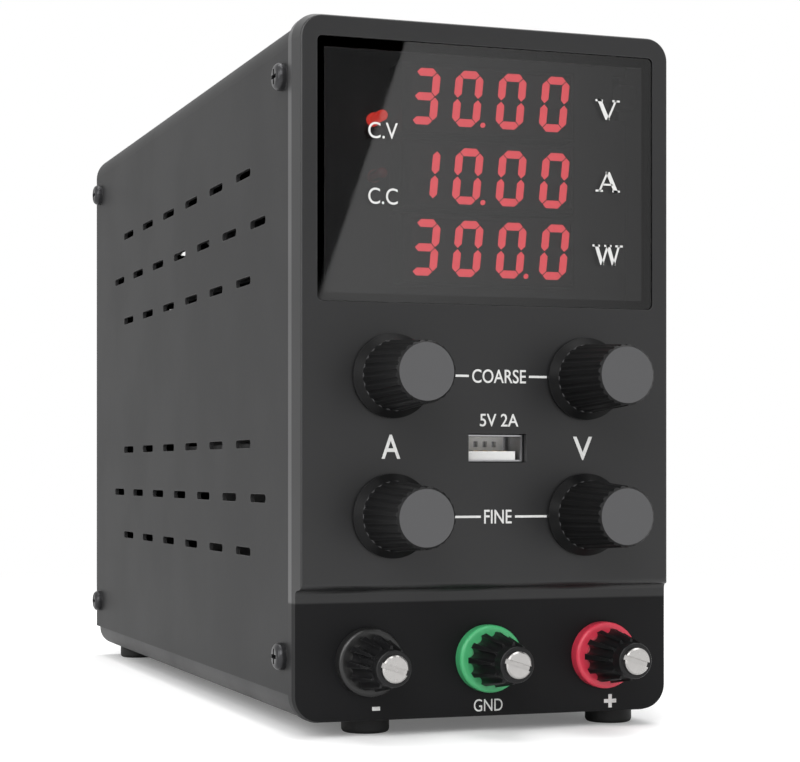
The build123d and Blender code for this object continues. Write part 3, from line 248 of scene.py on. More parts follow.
class Effects:
    """The node groups that several finishes share. Each is made once."""

    def __init__(self) -> None:
        """Make every group."""
        self.grain = self._grain()
        self.smudge = self._smudge()
        self.worn_edge = self._edge_wear_and_highlight()
        self.dust = self._dust()
        self.brushing = self._brushing()
        self.height_mask = self._height_mask()

    def _start(self, name: str, inputs: dict[str, float], outputs: tuple[str, ...]
               ) -> tuple[Wiring, dict, dict]:
        """Open a group with float sockets.

        Args:
            name: The group's name.
            inputs: The inputs' names and first values.
            outputs: The outputs' names.

        Returns:
            The wiring, the inputs as sockets by name, and the outputs as sockets by name.
        """
        group = bpy.data.node_groups.new(name, "ShaderNodeTree")
        for label, value in inputs.items():
            socket = group.interface.new_socket(label, in_out="INPUT", socket_type="NodeSocketFloat")
            socket.default_value = value
        for label in outputs:
            group.interface.new_socket(label, in_out="OUTPUT", socket_type="NodeSocketFloat")
        wiring = Wiring(group)
        start = wiring.add("NodeGroupInput")
        end = wiring.add("NodeGroupOutput")
        return wiring, {s.name: s for s in start.outputs if s.name}, {s.name: s for s in end.inputs if s.name}

    def _grain(self) -> bpy.types.NodeTree:
        """Make the fine pebbled texture of moulded plastic or powder paint.

        Returns:
            A group that puts out a height and a tone about 1.
        """
        wiring, given, out = self._start("surface_grain", {"Scale": 2600.0, "Tone": 0.08}, ("Height", "Tone"))
        place = wiring.place()
        fine = wiring.noise(place, given["Scale"], 3.0)
        coarse = wiring.noise(place, wiring.math("MULTIPLY", given["Scale"], 0.31), 2.0)
        mixed = wiring.math("MULTIPLY_ADD", fine, 0.6, wiring.math("MULTIPLY", coarse, 0.4))
        wiring.feed(out["Height"], mixed)
        swing = wiring.math("SUBTRACT", wiring.math("MULTIPLY", coarse, 2.0), 1.0)
        wiring.feed(out["Tone"], wiring.math("MULTIPLY_ADD", swing, given["Tone"], 1.0))
        return wiring.tree

    def _smudge(self) -> bpy.types.NodeTree:
        """Make the slow change of gloss that handling leaves.

        Returns:
            A group that puts out a roughness.
        """
        wiring, given, out = self._start("handling_smudge", {"Roughness": 0.5, "Amount": 0.1, "Scale": 34.0},
                                         ("Roughness",))
        place = wiring.place()
        cloud = wiring.noise(place, given["Scale"], 4.0)
        swing = wiring.math("SUBTRACT", wiring.ramp(cloud, 0.32, 0.7), 0.5)
        rough = wiring.math("MULTIPLY_ADD", swing, given["Amount"], given["Roughness"], clamp=True)
        wiring.feed(out["Roughness"], rough)
        return wiring.tree

    def _edge_wear_and_highlight(self) -> bpy.types.NodeTree:
        """Make the mask of the edges that wear lightens and that carry a painted highlight.

        Returns:
            A group that puts out a mask, 1 on an edge.
        """
        wiring, given, out = self._start("worn_edge", {"Width": 0.0006, "Strength": 1.0}, ("Mask",))
        rounded = wiring.add("ShaderNodeBevel", samples=4)
        wiring.feed(rounded.inputs["Radius"], given["Width"])
        flat = wiring.add("ShaderNodeNewGeometry").outputs["Normal"]
        cosine = wiring.add("ShaderNodeVectorMath", operation="DOT_PRODUCT")
        wiring.feed(cosine.inputs[0], rounded.outputs[0])
        wiring.feed(cosine.inputs[1], flat)
        turn = wiring.ramp(wiring.math("SUBTRACT", 1.0, cosine.outputs["Value"]), 0.02, 0.22)
        place = wiring.place()
        patchy = wiring.ramp(wiring.noise(place, 420.0, 3.0), 0.34, 0.62, 0.35, 1.0)
        mask = wiring.math("MULTIPLY", turn, patchy)
        wiring.feed(out["Mask"], wiring.math("MULTIPLY", mask, given["Strength"]))
        return wiring.tree

    def _dust(self) -> bpy.types.NodeTree:
        """Make the thin dust that settles on faces that look up.

        Returns:
            A group that puts out a mask, 1 where the dust is thick.
        """
        wiring, given, out = self._start("settled_dust", {"Amount": 0.2, "Scale": 900.0}, ("Mask",))
        normal = wiring.add("ShaderNodeNewGeometry").outputs["Normal"]
        upward = wiring.ramp(wiring.along(normal, "Z"), 0.55, 0.98)
        place = wiring.place()
        specks = wiring.ramp(wiring.noise(place, given["Scale"], 5.0), 0.5, 0.75, 0.25, 1.0)
        mask = wiring.math("MULTIPLY", upward, specks)
        wiring.feed(out["Mask"], wiring.math("MULTIPLY", mask, given["Amount"]))
        return wiring.tree

    def _brushing(self) -> bpy.types.NodeTree:
        """Make the fine lines that turning or rolling leaves on metal.

        Returns:
            A group that puts out a height and a roughness to add.
        """
        amounts = {"Scale": 900.0, "Amount": 0.12}
        wiring, given, out = self._start("brushing_lines", amounts, ("Height", "Roughness"))
        squeeze = wiring.add("ShaderNodeVectorMath", operation="MULTIPLY")
        wiring.feed(squeeze.inputs[0], wiring.place())
        squeeze.inputs[1].default_value = (1.0, 14.0, 1.0)
        lines = wiring.noise(squeeze.outputs[0], given["Scale"], 3.0)
        wiring.feed(out["Height"], lines)
        swing = wiring.math("SUBTRACT", lines, 0.5)
        wiring.feed(out["Roughness"], wiring.math("MULTIPLY", swing, given["Amount"]))
        return wiring.tree

    def _height_mask(self) -> bpy.types.NodeTree:
        """Make a mask that rises with height on the object.

        Returns:
            A group that puts out 0 below one height and 1 above another.
        """
        wiring, given, out = self._start("height_mask", {"Low": 0.0, "High": 0.01}, ("Mask",))
        wiring.feed(out["Mask"], wiring.ramp(wiring.along(wiring.place(), "Z"), given["Low"], given["High"]))
        return wiring.tree


@dataclass(frozen=True)
class Finish:
    """One finish of the object, with the amounts of each shared effect in it."""

    name: str
    color: Color
    roughness: float
    sheen: Sheen = Sheen.SOLID
    metallic: float = 0.0
    gloss: float = 0.5
    coat: float = 0.0
    coat_roughness: float = 0.3
    grain_scale: float = 2600.0
    grain_depth: float = 0.0
    grain_tone: float = 0.06
    smudge: float = 0.08
    wear_and_highlight: float = 0.0
    wear_and_highlight_color: Color = (0.16, 0.16, 0.16)
    wear_and_highlight_width: float = 0.0005
    dust: float = 0.0
    brushing: float = 0.0
    glow: float = 0.0
    ior: float = 1.45

    def make(self, effects: Effects) -> bpy.types.Material:
        """Make the material.

        Args:
            effects: The shared node groups.

        Returns:
            The finished material.
        """
        material = bpy.data.materials.new(self.name)
        wiring = blank(material)
        shader = wiring.add("ShaderNodeBsdfPrincipled")
        wiring.surface(shader)
        if self.sheen is Sheen.GLASS:
            self._glass(wiring, shader)
        else:
            self._solid(wiring, shader, effects)
        self.extend(wiring, shader, effects)
        return material

    def _glass(self, wiring: Wiring, shader: bpy.types.Node) -> None:
        """Set a clear or tinted sheet.

        Args:
            wiring: The material's wiring.
            shader: The material's shader.
        """
        shader.inputs["Base Color"].default_value = (*self.color, 1.0)
        shader.inputs["Transmission Weight"].default_value = 1.0
        shader.inputs["IOR"].default_value = self.ior
        place = wiring.place()
        cloud = wiring.noise(place, 60.0, 4.0)
        wiring.feed(shader.inputs["Roughness"],
                    wiring.ramp(cloud, 0.4, 0.75, self.roughness, self.roughness + self.smudge))

    def _solid(self, wiring: Wiring, shader: bpy.types.Node, effects: Effects) -> None:
        """Set a plastic, paint, rubber or metal with its grain, handling and dust, and with edges lightened partly by
        wear and partly by a painted highlight.

        Args:
            wiring: The material's wiring.
            shader: The material's shader.
            effects: The shared node groups.
        """
        shader.inputs["Metallic"].default_value = self.metallic
        shader.inputs["IOR"].default_value = self.ior
        shader.inputs["Specular IOR Level"].default_value = self.gloss
        shader.inputs["Coat Weight"].default_value = self.coat
        shader.inputs["Coat Roughness"].default_value = self.coat_roughness
        grain = wiring.group(effects.grain, Scale=self.grain_scale, Tone=self.grain_tone)
        toned = wiring.add("ShaderNodeVectorMath", operation="SCALE")
        toned.inputs[0].default_value = self.color
        wiring.feed(toned.inputs["Scale"], grain["Tone"])
        color = toned.outputs[0]
        roughness = wiring.group(effects.smudge, Roughness=self.roughness, Amount=self.smudge)["Roughness"]
        height = grain["Height"]
        # Edges get a lighter colour: partly wear, partly a painted highlight along them.
        if self.wear_and_highlight:
            worn_and_lit = wiring.group(effects.worn_edge, Width=self.wear_and_highlight_width, Strength=self.wear_and_highlight)["Mask"]
            color = wiring.blend(worn_and_lit, color, self.wear_and_highlight_color)
        if self.dust:
            dusty = wiring.group(effects.dust, Amount=self.dust)["Mask"]
            color = wiring.blend(dusty, color, DUST_COLOR)
            roughness = wiring.math("MULTIPLY_ADD", dusty, DUST_ROUGHNESS, roughness, clamp=True)
        if self.brushing:
            lines = wiring.group(effects.brushing, Amount=self.brushing)
            roughness = wiring.math("ADD", roughness, lines["Roughness"], clamp=True)
            height = lines["Height"]
        wiring.feed(shader.inputs["Base Color"], color)
        wiring.feed(shader.inputs["Roughness"], roughness)
        if self.grain_depth:
            bump = wiring.add("ShaderNodeBump")
            bump.inputs["Strength"].default_value = 1.0
            bump.inputs["Distance"].default_value = self.grain_depth
            wiring.feed(bump.inputs["Height"], height)
            wiring.feed(shader.inputs["Normal"], bump.outputs[0])
        if self.sheen is Sheen.GLOW:
            wiring.feed(shader.inputs["Emission Color"], color)
            shader.inputs["Emission Strength"].default_value = self.glow

    def extend(self, wiring: Wiring, shader: bpy.types.Node, effects: Effects) -> None:
        """Add what only one kind of finish has. A plain finish adds nothing."""


@dataclass(frozen=True)
class PanelFinish(Finish):
    """The bezel's plastic: a satin upper face, and a duller part below the step that is painted darker, as painted
    shade of the recess.
    """

    step_low: float = 0.0
    step_high: float = 0.01
    recess_shade_color: Color = (0.004, 0.004, 0.0045)
    low_roughness: float = 0.5

    def extend(self, wiring: Wiring, shader: bpy.types.Node, effects: Effects) -> None:
        """Darken the part below the step with painted shade of the recess, make it duller, and keep the satin coat
        above it.

        Args:
            wiring: The material's wiring.
            shader: The material's shader.
            effects: The shared node groups.
        """
        above = wiring.group(effects.height_mask, Low=self.step_low, High=self.step_high)["Mask"]
        color = shader.inputs["Base Color"].links[0].from_socket
        roughness = shader.inputs["Roughness"].links[0].from_socket
        # Painted shade: the recessed part below the step gets a darker colour.
        wiring.feed(shader.inputs["Base Color"], wiring.blend(above, self.recess_shade_color, color))
        below = wiring.math("SUBTRACT", 1.0, above)
        wiring.feed(shader.inputs["Roughness"],
                    wiring.math("MULTIPLY_ADD", below, self.low_roughness - self.roughness, roughness))
        wiring.feed(shader.inputs["Coat Weight"], wiring.math("MULTIPLY", above, self.coat))


@dataclass(frozen=True)
class KnobFinish(Finish):
    """A knob's plastic: a satin end that is smoother than the fluted side and painted paler, a painted highlight of
    the front light.
    """

    lit_end_color: Color = (0.1, 0.1, 0.1)
    end_roughness: float = 0.4

    def extend(self, wiring: Wiring, shader: bpy.types.Node, effects: Effects) -> None:
        """Give the faces that look straight out a paler colour, a painted highlight of the front light, and their own
        roughness.

        Args:
            wiring: The material's wiring.
            shader: The material's shader.
            effects: The shared node groups; not used.
        """
        normal = wiring.add("ShaderNodeTexCoord").outputs["Normal"]
        # Faces that look straight out are painted paler: a painted highlight.
        outward_lit = wiring.ramp(wiring.along(normal, "Y"), -0.7, -0.98)
        color = shader.inputs["Base Color"].links[0].from_socket
        roughness = shader.inputs["Roughness"].links[0].from_socket
        wiring.feed(shader.inputs["Base Color"], wiring.blend(outward_lit, color, self.lit_end_color))
        wiring.feed(shader.inputs["Roughness"],
                    wiring.math("MULTIPLY_ADD", outward_lit, self.end_roughness - self.roughness, roughness))


@dataclass(frozen=True)
class LampFinish(Finish):
    """The two mode lamps: the upper one is lit."""

    lit_low: float = 0.1
    lit_high: float = 0.11
    lit_color: Color = (1.0, 0.05, 0.03)

    def extend(self, wiring: Wiring, shader: bpy.types.Node, effects: Effects) -> None:
        """Light the upper lamp.

        Args:
            wiring: The material's wiring.
            shader: The material's shader.
            effects: The shared node groups.
        """
        upper = wiring.group(effects.height_mask, Low=self.lit_low, High=self.lit_high)["Mask"]
        wiring.feed(shader.inputs["Emission Color"], wiring.blend(upper, (0.0, 0.0, 0.0), self.lit_color))
        shader.inputs["Emission Strength"].default_value = self.glow


class Paintbox:
    """Makes each finish once and lays it on pieces."""

    def __init__(self, frame: dict) -> None:
        """Start with no finish made.

        Args:
            frame: The loaded frame, with its nodes by name.
        """
        self.effects = Effects()
        self.nodes = frame["nodes"]
        self.made: dict[str, bpy.types.Material] = {}

    def material(self, finish: Finish) -> bpy.types.Material:
        """Find a finish's material, or make it.

        Args:
            finish: The finish.

        Returns:
            Its material.
        """
        if finish.name not in self.made:
            self.made[finish.name] = finish.make(self.effects)
        return self.made[finish.name]

    def dress(self, finish: Finish, *names: str) -> None:
        """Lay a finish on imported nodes.

        Args:
            finish: The finish.
            *names: The nodes' names.
        """
        for name in names:
            node = self.nodes[name]
            for slot in node.material_slots:
                slot.material = self.material(finish)
            log.info("%s: %s", name, finish.name)

    def coat(self, piece: bpy.types.Object, finish: Finish, body: str, slot: str) -> None:
        """Lay a finish on a new piece and let it ride on a body.

        Args:
            piece: The new piece.
            finish: Its finish.
            body: The body that it moves with.
            slot: The record's material slot that it belongs to; not used.
        """
        piece.data.materials.clear()
        piece.data.materials.append(self.material(finish))
        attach(piece, body)
        log.info("%s: %s, on %s", piece.name, finish.name, body)

    def ink(self, piece: bpy.types.Object, finish: Finish) -> None:
        """Lay ink on a printed piece, which stays with the case."""
        self.coat(piece, finish, "root", "white_plastic")


class Bench:
    """Places on the front: across from the middle, up from the bezel's foot, back from its face."""

    def __init__(self) -> None:
        """Read the bezel's place from the frame."""
        _, self.front, self.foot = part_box("front_bezel")[0]

    def at(self, across: float, back: float, up: float) -> Vector:
        """Give a place in metres from millimetres right of the middle, behind the face and above the foot."""
        return Vector((across * MM, self.front + back * MM, self.foot + up * MM))

    def plate(self, name: str, outlines: list[list[Point]], back: float, thick: float, bevel: float = 0.0
              ) -> bpy.types.Object:
        """Make flat raised shapes that face front.

        Args:
            name: The piece's name.
            outlines: Each shape's corners as (across, up), in millimetres and anticlockwise from the front.
            back: How far behind the bezel's face the shapes' backs are.
            thick: How far they stand forward from there.
            bevel: The size of their bevelled edge.

        Returns:
            The new piece.
        """
        mesh = bmesh.new()
        for outline in outlines:
            rear = [mesh.verts.new(self.at(x, back, z)) for x, z in outline]
            fore = [mesh.verts.new(self.at(x, back - thick, z)) for x, z in outline]
            mesh.faces.new(fore)
            mesh.faces.new(rear[::-1])
            count = len(outline)
            for i in range(count):
                j = (i + 1) % count
                mesh.faces.new((rear[i], rear[j], fore[j], fore[i]))
        bmesh.ops.recalc_face_normals(mesh, faces=mesh.faces)
        piece = meshed(name, mesh)
        if bevel:
            edge = piece.modifiers.new("softened_edge", "BEVEL")
            edge.width = bevel * MM
            edge.segments = 2
        return piece

    def lettering(self, name: str, words: str, low: Point, high: Point, back: float,
                  thick: float = PRINT_THICK, weight: float = 0.0) -> bpy.types.Object:
        """Make printed lettering that fills a box on a front-facing surface.

        Args:
            name: The piece's name.
            words: What it says.
            low: The box's lower left corner, across and up, in millimetres.
            high: The box's upper right corner.
            back: How far behind the bezel's face the surface is.
            thick: How far the ink stands proud.
            weight: How much bolder than plain the letters are, as a share of their height.

        Returns:
            The new piece.
        """
        curve = bpy.data.curves.new(name, "FONT")
        curve.body = words
        curve.offset = weight
        curve.extrude = 0.01
        curve.resolution_u = 6
        draft = placed(name + "_draft", curve)
        bpy.context.view_layer.update()
        data = bpy.data.meshes.new_from_object(draft.evaluated_get(bpy.context.evaluated_depsgraph_get()))
        bpy.data.objects.remove(draft)
        bpy.data.curves.remove(curve)
        xs = [v.co.x for v in data.vertices]
        ys = [v.co.y for v in data.vertices]
        zs = [v.co.z for v in data.vertices]
        up_scale = (high[1] - low[1]) / (max(ys) - min(ys))
        across_scale = (high[0] - low[0]) / (max(xs) - min(xs))
        for v in data.vertices:
            across = low[0] + (v.co.x - min(xs)) * across_scale
            up = low[1] + (v.co.y - min(ys)) * up_scale
            proud = (v.co.z - min(zs)) / (max(zs) - min(zs)) * thick
            v.co = self.at(across, back - proud, up)
        data.name = name
        return placed(name, data)


SEGMENTS_OF: dict[str, str] = {
    "0": "abcdef", "1": "bc", "2": "abdeg", "3": "abcdg", "4": "bcfg",
    "5": "acdfg", "6": "acdefg", "7": "abc", "8": "abcdefg", "9": "abcdfg",
}


@dataclass
class Display:
    """The window with its lit digits, unit letters and two mode lamps. Sizes in millimetres."""

    rows: tuple[tuple[str, float], ...] = (("30.00", 135.6), ("10.00", 118.6), ("300.0", 102.7))
    digit_middles: tuple[float, ...] = (-14.0, -3.9, 6.4, 16.8)
    digit_width: float = 6.5
    digit_height: float = 12.3
    stroke: float = 1.7
    stroke_gap: float = 0.16
    slant: float = 0.1
    point_size: float = 1.15
    segment_thick: float = 0.12
    window_face: float = 0.4
    unit_middle: float = 28.6
    unit_height: float = 4.5
    units: tuple[tuple[str, float], ...] = (("V", 134.6), ("A", 118.5), ("W", 102.2))
    modes: tuple[tuple[str, str, Point, Point], ...] = (
        ("mode_voltage", "C.V", (-27.9, 125.4), (-21.2, 128.9)),
        ("mode_current", "C.C", (-27.9, 111.3), (-21.2, 114.8)),
    )
    thin: float = 0.5
    bold: float = 1.05
    serif: float = 0.45
    crossbar: float = 0.42
    smoked: Finish = Finish("smoked_acrylic", (0.34, 0.34, 0.345), 0.015, Sheen.GLASS, smudge=0.03, ior=1.49)
    lit: Finish = Finish("lit_segment", (0.98, 0.095, 0.115), 0.4, Sheen.GLOW, glow=1.7, grain_tone=0.1,
                         smudge=0.05)
    unlit: Finish = Finish("unlit_segment", (0.022, 0.016, 0.016), 0.5, gloss=0.2)
    block: Finish = Finish("display_block", (0.006, 0.006, 0.006), 0.6, gloss=0.2)
    print_white: Finish = Finish("white_print", (0.56, 0.56, 0.55), 0.5, grain_tone=0.12, smudge=0.1)
    lamp: LampFinish = LampFinish("mode_lamp_lens", (0.2, 0.01, 0.01), 0.25, glow=1.3,
                                  lit_low=0.126, lit_high=0.132)

    def build(self, bench: Bench, box: Paintbox) -> None:
        """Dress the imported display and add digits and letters.

        Args:
            bench: Places on the front.
            box: The finishes.
        """
        box.dress(self.smoked, "display_window")
        box.dress(self.block, "digit_modules", "front_board")
        box.dress(self.lamp, "mode_lamps")
        face = (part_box("digit_modules")[0][1] - bench.front) / MM
        lit, unlit = [], []
        for words, middle in self.rows:
            digits = words.replace(".", "")
            after = words.index(".") - 1
            for place, digit in enumerate(digits):
                for letter, outline in self._segments(self.digit_middles[place], middle).items():
                    (lit if letter in SEGMENTS_OF[digit] else unlit).append(outline)
                (lit if place == after else unlit).append(self._point(self.digit_middles[place], middle))
        shown = bench.plate("lit_segments", lit, face, self.segment_thick)
        box.coat(shown, self.lit, "root", "digits")
        hidden = bench.plate("unlit_segments", unlit, face, self.segment_thick * 0.6)
        box.coat(hidden, self.unlit, "root", "digits")
        for unit, middle in self.units:
            strokes = self._serif_letter(unit, middle)
            letter = bench.plate(f"unit_{unit}", strokes, self.window_face, PRINT_THICK)
            box.ink(letter, self.print_white)
        for name, words, low, high in self.modes:
            label = bench.lettering(name, words, low, high, self.window_face)
            box.ink(label, self.print_white)

    def _lean(self, across: float, up: float, middle: float, base: float) -> Point:
        """Move a point of an upright digit, given from its middle, to its place on the leaning one."""
        return (middle + across + up * self.slant, base + up)

    def _segments(self, middle: float, base: float) -> dict[str, list[Point]]:
        """Outline the seven segments of one digit.

        Args:
            middle: The digit's middle, across.
            base: The digit's middle, up.

        Returns:
            Each segment's corners by its letter.
        """
        half = self.stroke / 2
        side = self.digit_width / 2 - half
        top = self.digit_height / 2 - half
        gap = self.stroke_gap
        bar = [(-side + gap, 0.0), (-side + gap + half, -half), (side - gap - half, -half),
               (side - gap, 0.0), (side - gap - half, half), (-side + gap + half, half)]
        post = [(0.0, gap), (half, gap + half), (half, top - gap - half), (0.0, top - gap),
                (-half, top - gap - half), (-half, gap + half)]
        shifts = {"a": (bar, 0.0, top), "g": (bar, 0.0, 0.0), "d": (bar, 0.0, -top), "f": (post, -side, 0.0),
                  "b": (post, side, 0.0), "e": (post, -side, -top), "c": (post, side, -top)}
        return {letter: [self._lean(x + right, z + up, middle, base) for x, z in shape]
                for letter, (shape, right, up) in shifts.items()}

    def _point(self, middle: float, base: float) -> list[Point]:
        """Outline the decimal point after one digit.

        Args:
            middle: The digit's middle, across.
            base: The digit's middle, up.

        Returns:
            The point's corners.
        """
        half = self.point_size / 2
        across = self.digit_width / 2 + self.point_size * 0.75
        up = -self.digit_height / 2 + half
        return [self._lean(across + half * math.cos(a), up + half * math.sin(a), middle, base)
                for a in (i * math.tau / 12 for i in range(12))]

    def _stroke(self, start: Point, end: Point, width: float) -> list[Point]:
        """Outline a stroke with level ends.

        Args:
            start: The middle of its lower end.
            end: The middle of its upper end.
            width: Its width, measured level.

        Returns:
            Its corners.
        """
        half = width / 2
        (x, z), (far_x, far_z) = start, end
        return [(x - half, z), (x + half, z), (far_x + half, far_z), (far_x - half, far_z)]

    def _serif_letter(self, unit: str, middle: float) -> list[list[Point]]:
        """Draw a unit letter with thick and thin strokes and serifs.

        Args:
            unit: V, A or W.
            middle: The letter's middle, up.

        Returns:
            Its strokes' corners.
        """
        x, half = self.unit_middle, self.unit_height / 2
        low, high = middle - half, middle + half
        reach = half * 0.92
        strokes: list[list[Point]] = []
        if unit == "W":
            reach = half * 1.25
            feet = (x - reach * 0.48, x + reach * 0.52)
            tops = (x - reach, x + reach * 0.02, x + reach)
            strokes += [self._stroke((feet[0], low), (tops[0], high), self.bold * 0.85),
                        self._stroke((feet[0], low), (tops[1], high), self.thin),
                        self._stroke((feet[1], low), (tops[1], high), self.bold * 0.85),
                        self._stroke((feet[1], low), (tops[2], high), self.thin)]
            ends = [(t, high - self.serif) for t in tops]
        elif unit == "V":
            strokes += [self._stroke((x, low), (x - reach, high), self.bold),
                        self._stroke((x, low), (x + reach, high), self.thin)]
            ends = [(x - reach, high - self.serif), (x + reach, high - self.serif)]
        else:
            strokes += [self._stroke((x - reach, low), (x, high), self.thin),
                        self._stroke((x + reach, low), (x, high), self.bold)]
            level = low + self.unit_height * 0.32
            strokes.append([(x - reach * 0.62, level), (x + reach * 0.6, level),
                            (x + reach * 0.55, level + self.crossbar), (x - reach * 0.55, level + self.crossbar)])
            ends = [(x - reach, low), (x + reach, low)]
        wide = self.unit_height * 0.2
        for across, up in ends:
            strokes.append(rectangle(across - wide, across + wide, up, up + self.serif))
        return strokes


@dataclass
class FrontPanel:
    """The moulded bezel and the words and lines printed on it. Sizes in millimetres."""

    step_low: float = 25.4
    step_high: float = 26.0
    line_thick: float = 0.5
    low_face: float = 2.5
    plastic: PanelFinish = PanelFinish("bezel_plastic", (0.012, 0.012, 0.0125), 0.42, gloss=0.18, coat=0.5,
                                       coat_roughness=0.38, grain_scale=3200.0, grain_depth=0.000012, smudge=0.07,
                                       wear_and_highlight=0.25, wear_and_highlight_color=(0.08, 0.08, 0.08))
    ink: Finish = Finish("panel_print", (0.6, 0.6, 0.59), 0.55, grain_scale=5000.0, grain_tone=0.16, smudge=0.1)
    words: tuple[tuple[str, str, Point, Point], ...] = (
        ("print_current", "A", (-25.05, 56.6), (-20.75, 61.8)),
        ("print_voltage", "V", (19.95, 56.4), (24.6, 61.6)),
        ("print_coarse", "COARSE", (-4.1, 73.2), (8.6, 76.2)),
        ("print_fine", "FINE", (-1.3, 42.5), (5.2, 45.5)),
        ("print_usb", "5V 2A", (-2.3, 63.7), (6.8, 66.5)),
    )
    low_words: tuple[tuple[str, str, Point, Point], ...] = (
        ("print_ground", "GND", (-2.7, 1.2), (4.1, 3.9)),
    )
    lines: tuple[tuple[float, float, float], ...] = (
        (-9.3, -4.9, 74.7), (9.3, 13.6, 74.7), (-9.3, -2.1, 44.0), (6.0, 13.6, 44.0),
    )
    signs: tuple[tuple[float, float, bool], ...] = ((-25.4, 2.7, False), (30.2, 2.4, True))
    sign_size: float = 3.0
    sign_thick: float = 0.85
    minus_share: float = 0.6
    bolder: float = 0.008

    def build(self, bench: Bench, box: Paintbox) -> None:
        """Dress the bezel and print on it.

        Args:
            bench: Places on the front.
            box: The finishes.
        """
        plastic = PanelFinish(**{**self.plastic.__dict__, "step_low": bench.foot + self.step_low * MM,
                                 "step_high": bench.foot + self.step_high * MM})
        box.dress(plastic, "front_bezel")
        for name, words, low, high in self.words:
            box.ink(bench.lettering(name, words, low, high, 0.0, weight=self.bolder), self.ink)
        for name, words, low, high in self.low_words:
            box.ink(bench.lettering(name, words, low, high, self.low_face), self.ink)
        half = self.line_thick / 2
        bars = [rectangle(a, b, z - half, z + half) for a, b, z in self.lines]
        box.ink(bench.plate("print_lines", bars, 0.0, PRINT_THICK), self.ink)
        marks = [outline for x, z, crossed in self.signs for outline in self._sign(x, z, crossed)]
        box.ink(bench.plate("print_signs", marks, self.low_face, PRINT_THICK), self.ink)

    def _sign(self, x: float, z: float, crossed: bool) -> list[list[Point]]:
        """Outline a plus or a minus.

        Args:
            x: Its middle, across.
            z: Its middle, up.
            crossed: Whether it is a plus.

        Returns:
            Its corners, in parts that don't overlap.
        """
        half, thin = self.sign_size / 2, self.sign_thick / 2
        if not crossed:
            reach = half * self.minus_share
            return [rectangle(x - reach, x + reach, z - thin, z + thin)]
        corner = ((-thin, -half), (thin, -half), (thin, -thin))
        outline = []
        for cosine, sine in ((1, 0), (0, 1), (-1, 0), (0, -1)):
            outline += [(x + a * cosine - b * sine, z + a * sine + b * cosine) for a, b in corner]
        return [outline]


@dataclass
class Controls:
    """The four knobs and their shafts."""

    names: tuple[str, ...] = ("current_coarse", "current_fine", "voltage_coarse", "voltage_fine")
    knob: KnobFinish = KnobFinish("knob_plastic", (0.005, 0.005, 0.0052), 0.42, gloss=0.14, grain_scale=3800.0,
                                  grain_depth=0.000008, wear_and_highlight=0.3, wear_and_highlight_color=(0.07, 0.07, 0.07),
                                  lit_end_color=(0.075, 0.075, 0.077), end_roughness=0.5)
    shaft: Finish = Finish("turned_steel", (0.5, 0.5, 0.52), 0.32, metallic=1.0, brushing=0.2)

    def dress(self, box: Paintbox) -> None:
        """Lay the finishes on the knobs and shafts.

        Args:
            box: The finishes.
        """
        for name in self.names:
            box.dress(self.knob, f"{name}_knob")
            box.dress(self.shaft, f"{name}_shaft")


@dataclass
class UsbSocket:
    """The power socket between the knobs, with its contacts. Sizes in millimetres."""

    tongue_thick: float = 1.9
    contact_count: int = 4
    contact_pitch: float = 2.25
    contact_width: float = 1.1
    contact_reach: float = 5.5
    contact_thick: float = 0.12
    shell: Finish = Finish("tinned_shell", (0.42, 0.42, 0.43), 0.3, metallic=1.0, brushing=0.15)
    tongue: Finish = Finish("white_tongue", (0.86, 0.86, 0.85), 0.35, grain_tone=0.03)
    gilt: Finish = Finish("gilt_contact", (0.8, 0.58, 0.25), 0.28, metallic=1.0)

    def build(self, bench: Bench, box: Paintbox) -> None:
        """Dress the socket and add its contacts.

        Args:
            bench: Places on the front.
            box: The finishes.
        """
        box.dress(self.shell, "usb_shell")
        box.dress(self.tongue, "usb_tongue")
        low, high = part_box("usb_tongue")
        middle = (low[0] + high[0]) / 2 / MM
        top = (low[2] - bench.foot) / MM + self.tongue_thick
        nose = (low[1] - bench.front) / MM + 0.9
        bars = []
        for i in range(self.contact_count):
            x = middle + (i - (self.contact_count - 1) / 2) * self.contact_pitch
            half = self.contact_width / 2
            bars.append(rectangle(x - half, x + half, top, top + self.contact_thick))
        contacts = bench.plate("usb_contacts", bars, nose + self.contact_reach, self.contact_reach, bevel=0.04)
        box.coat(contacts, self.gilt, "root", "nickel")


@dataclass
class BindingPosts:
    """The three terminals: flanges, clamp washers, fluted caps and plated studs."""

    colors: tuple[tuple[str, Color], ...] = (
        ("negative", (0.012, 0.012, 0.012)),
        ("ground", (0.055, 0.36, 0.14)),
        ("positive", (0.56, 0.035, 0.065)),
    )
    cap: Finish = Finish("cap_plastic", (0.006, 0.006, 0.0064), 0.32, gloss=0.28, smudge=0.1, wear_and_highlight=0.25,
                         wear_and_highlight_color=(0.06, 0.06, 0.06), grain_depth=0.000004)
    plating: Finish = Finish("bright_nickel", (0.62, 0.61, 0.6), 0.2, metallic=1.0, smudge=0.08, brushing=0.05)
    stud: Finish = Finish("turned_nickel", (0.42, 0.41, 0.4), 0.3, metallic=1.0, smudge=0.08, brushing=0.2)
    bush: Finish = Finish("bush_plastic", (0.02, 0.02, 0.02), 0.5)

    def dress(self, box: Paintbox) -> None:
        """Lay the finishes on the terminals.

        Args:
            box: The finishes.
        """
        for name, color in self.colors:
            flange = Finish(f"{name}_flange_plastic", color, 0.32, gloss=0.5, smudge=0.08, grain_tone=0.04)
            box.dress(flange, f"{name}_post_flange")
            box.dress(self.cap, f"{name}_post_cap")
            box.dress(self.plating, f"{name}_clamp_washer")
        box.dress(self.stud, "post_studs")
        box.dress(self.plating, "post_nuts", "solder_lugs")
        box.dress(self.bush, "post_bushes")


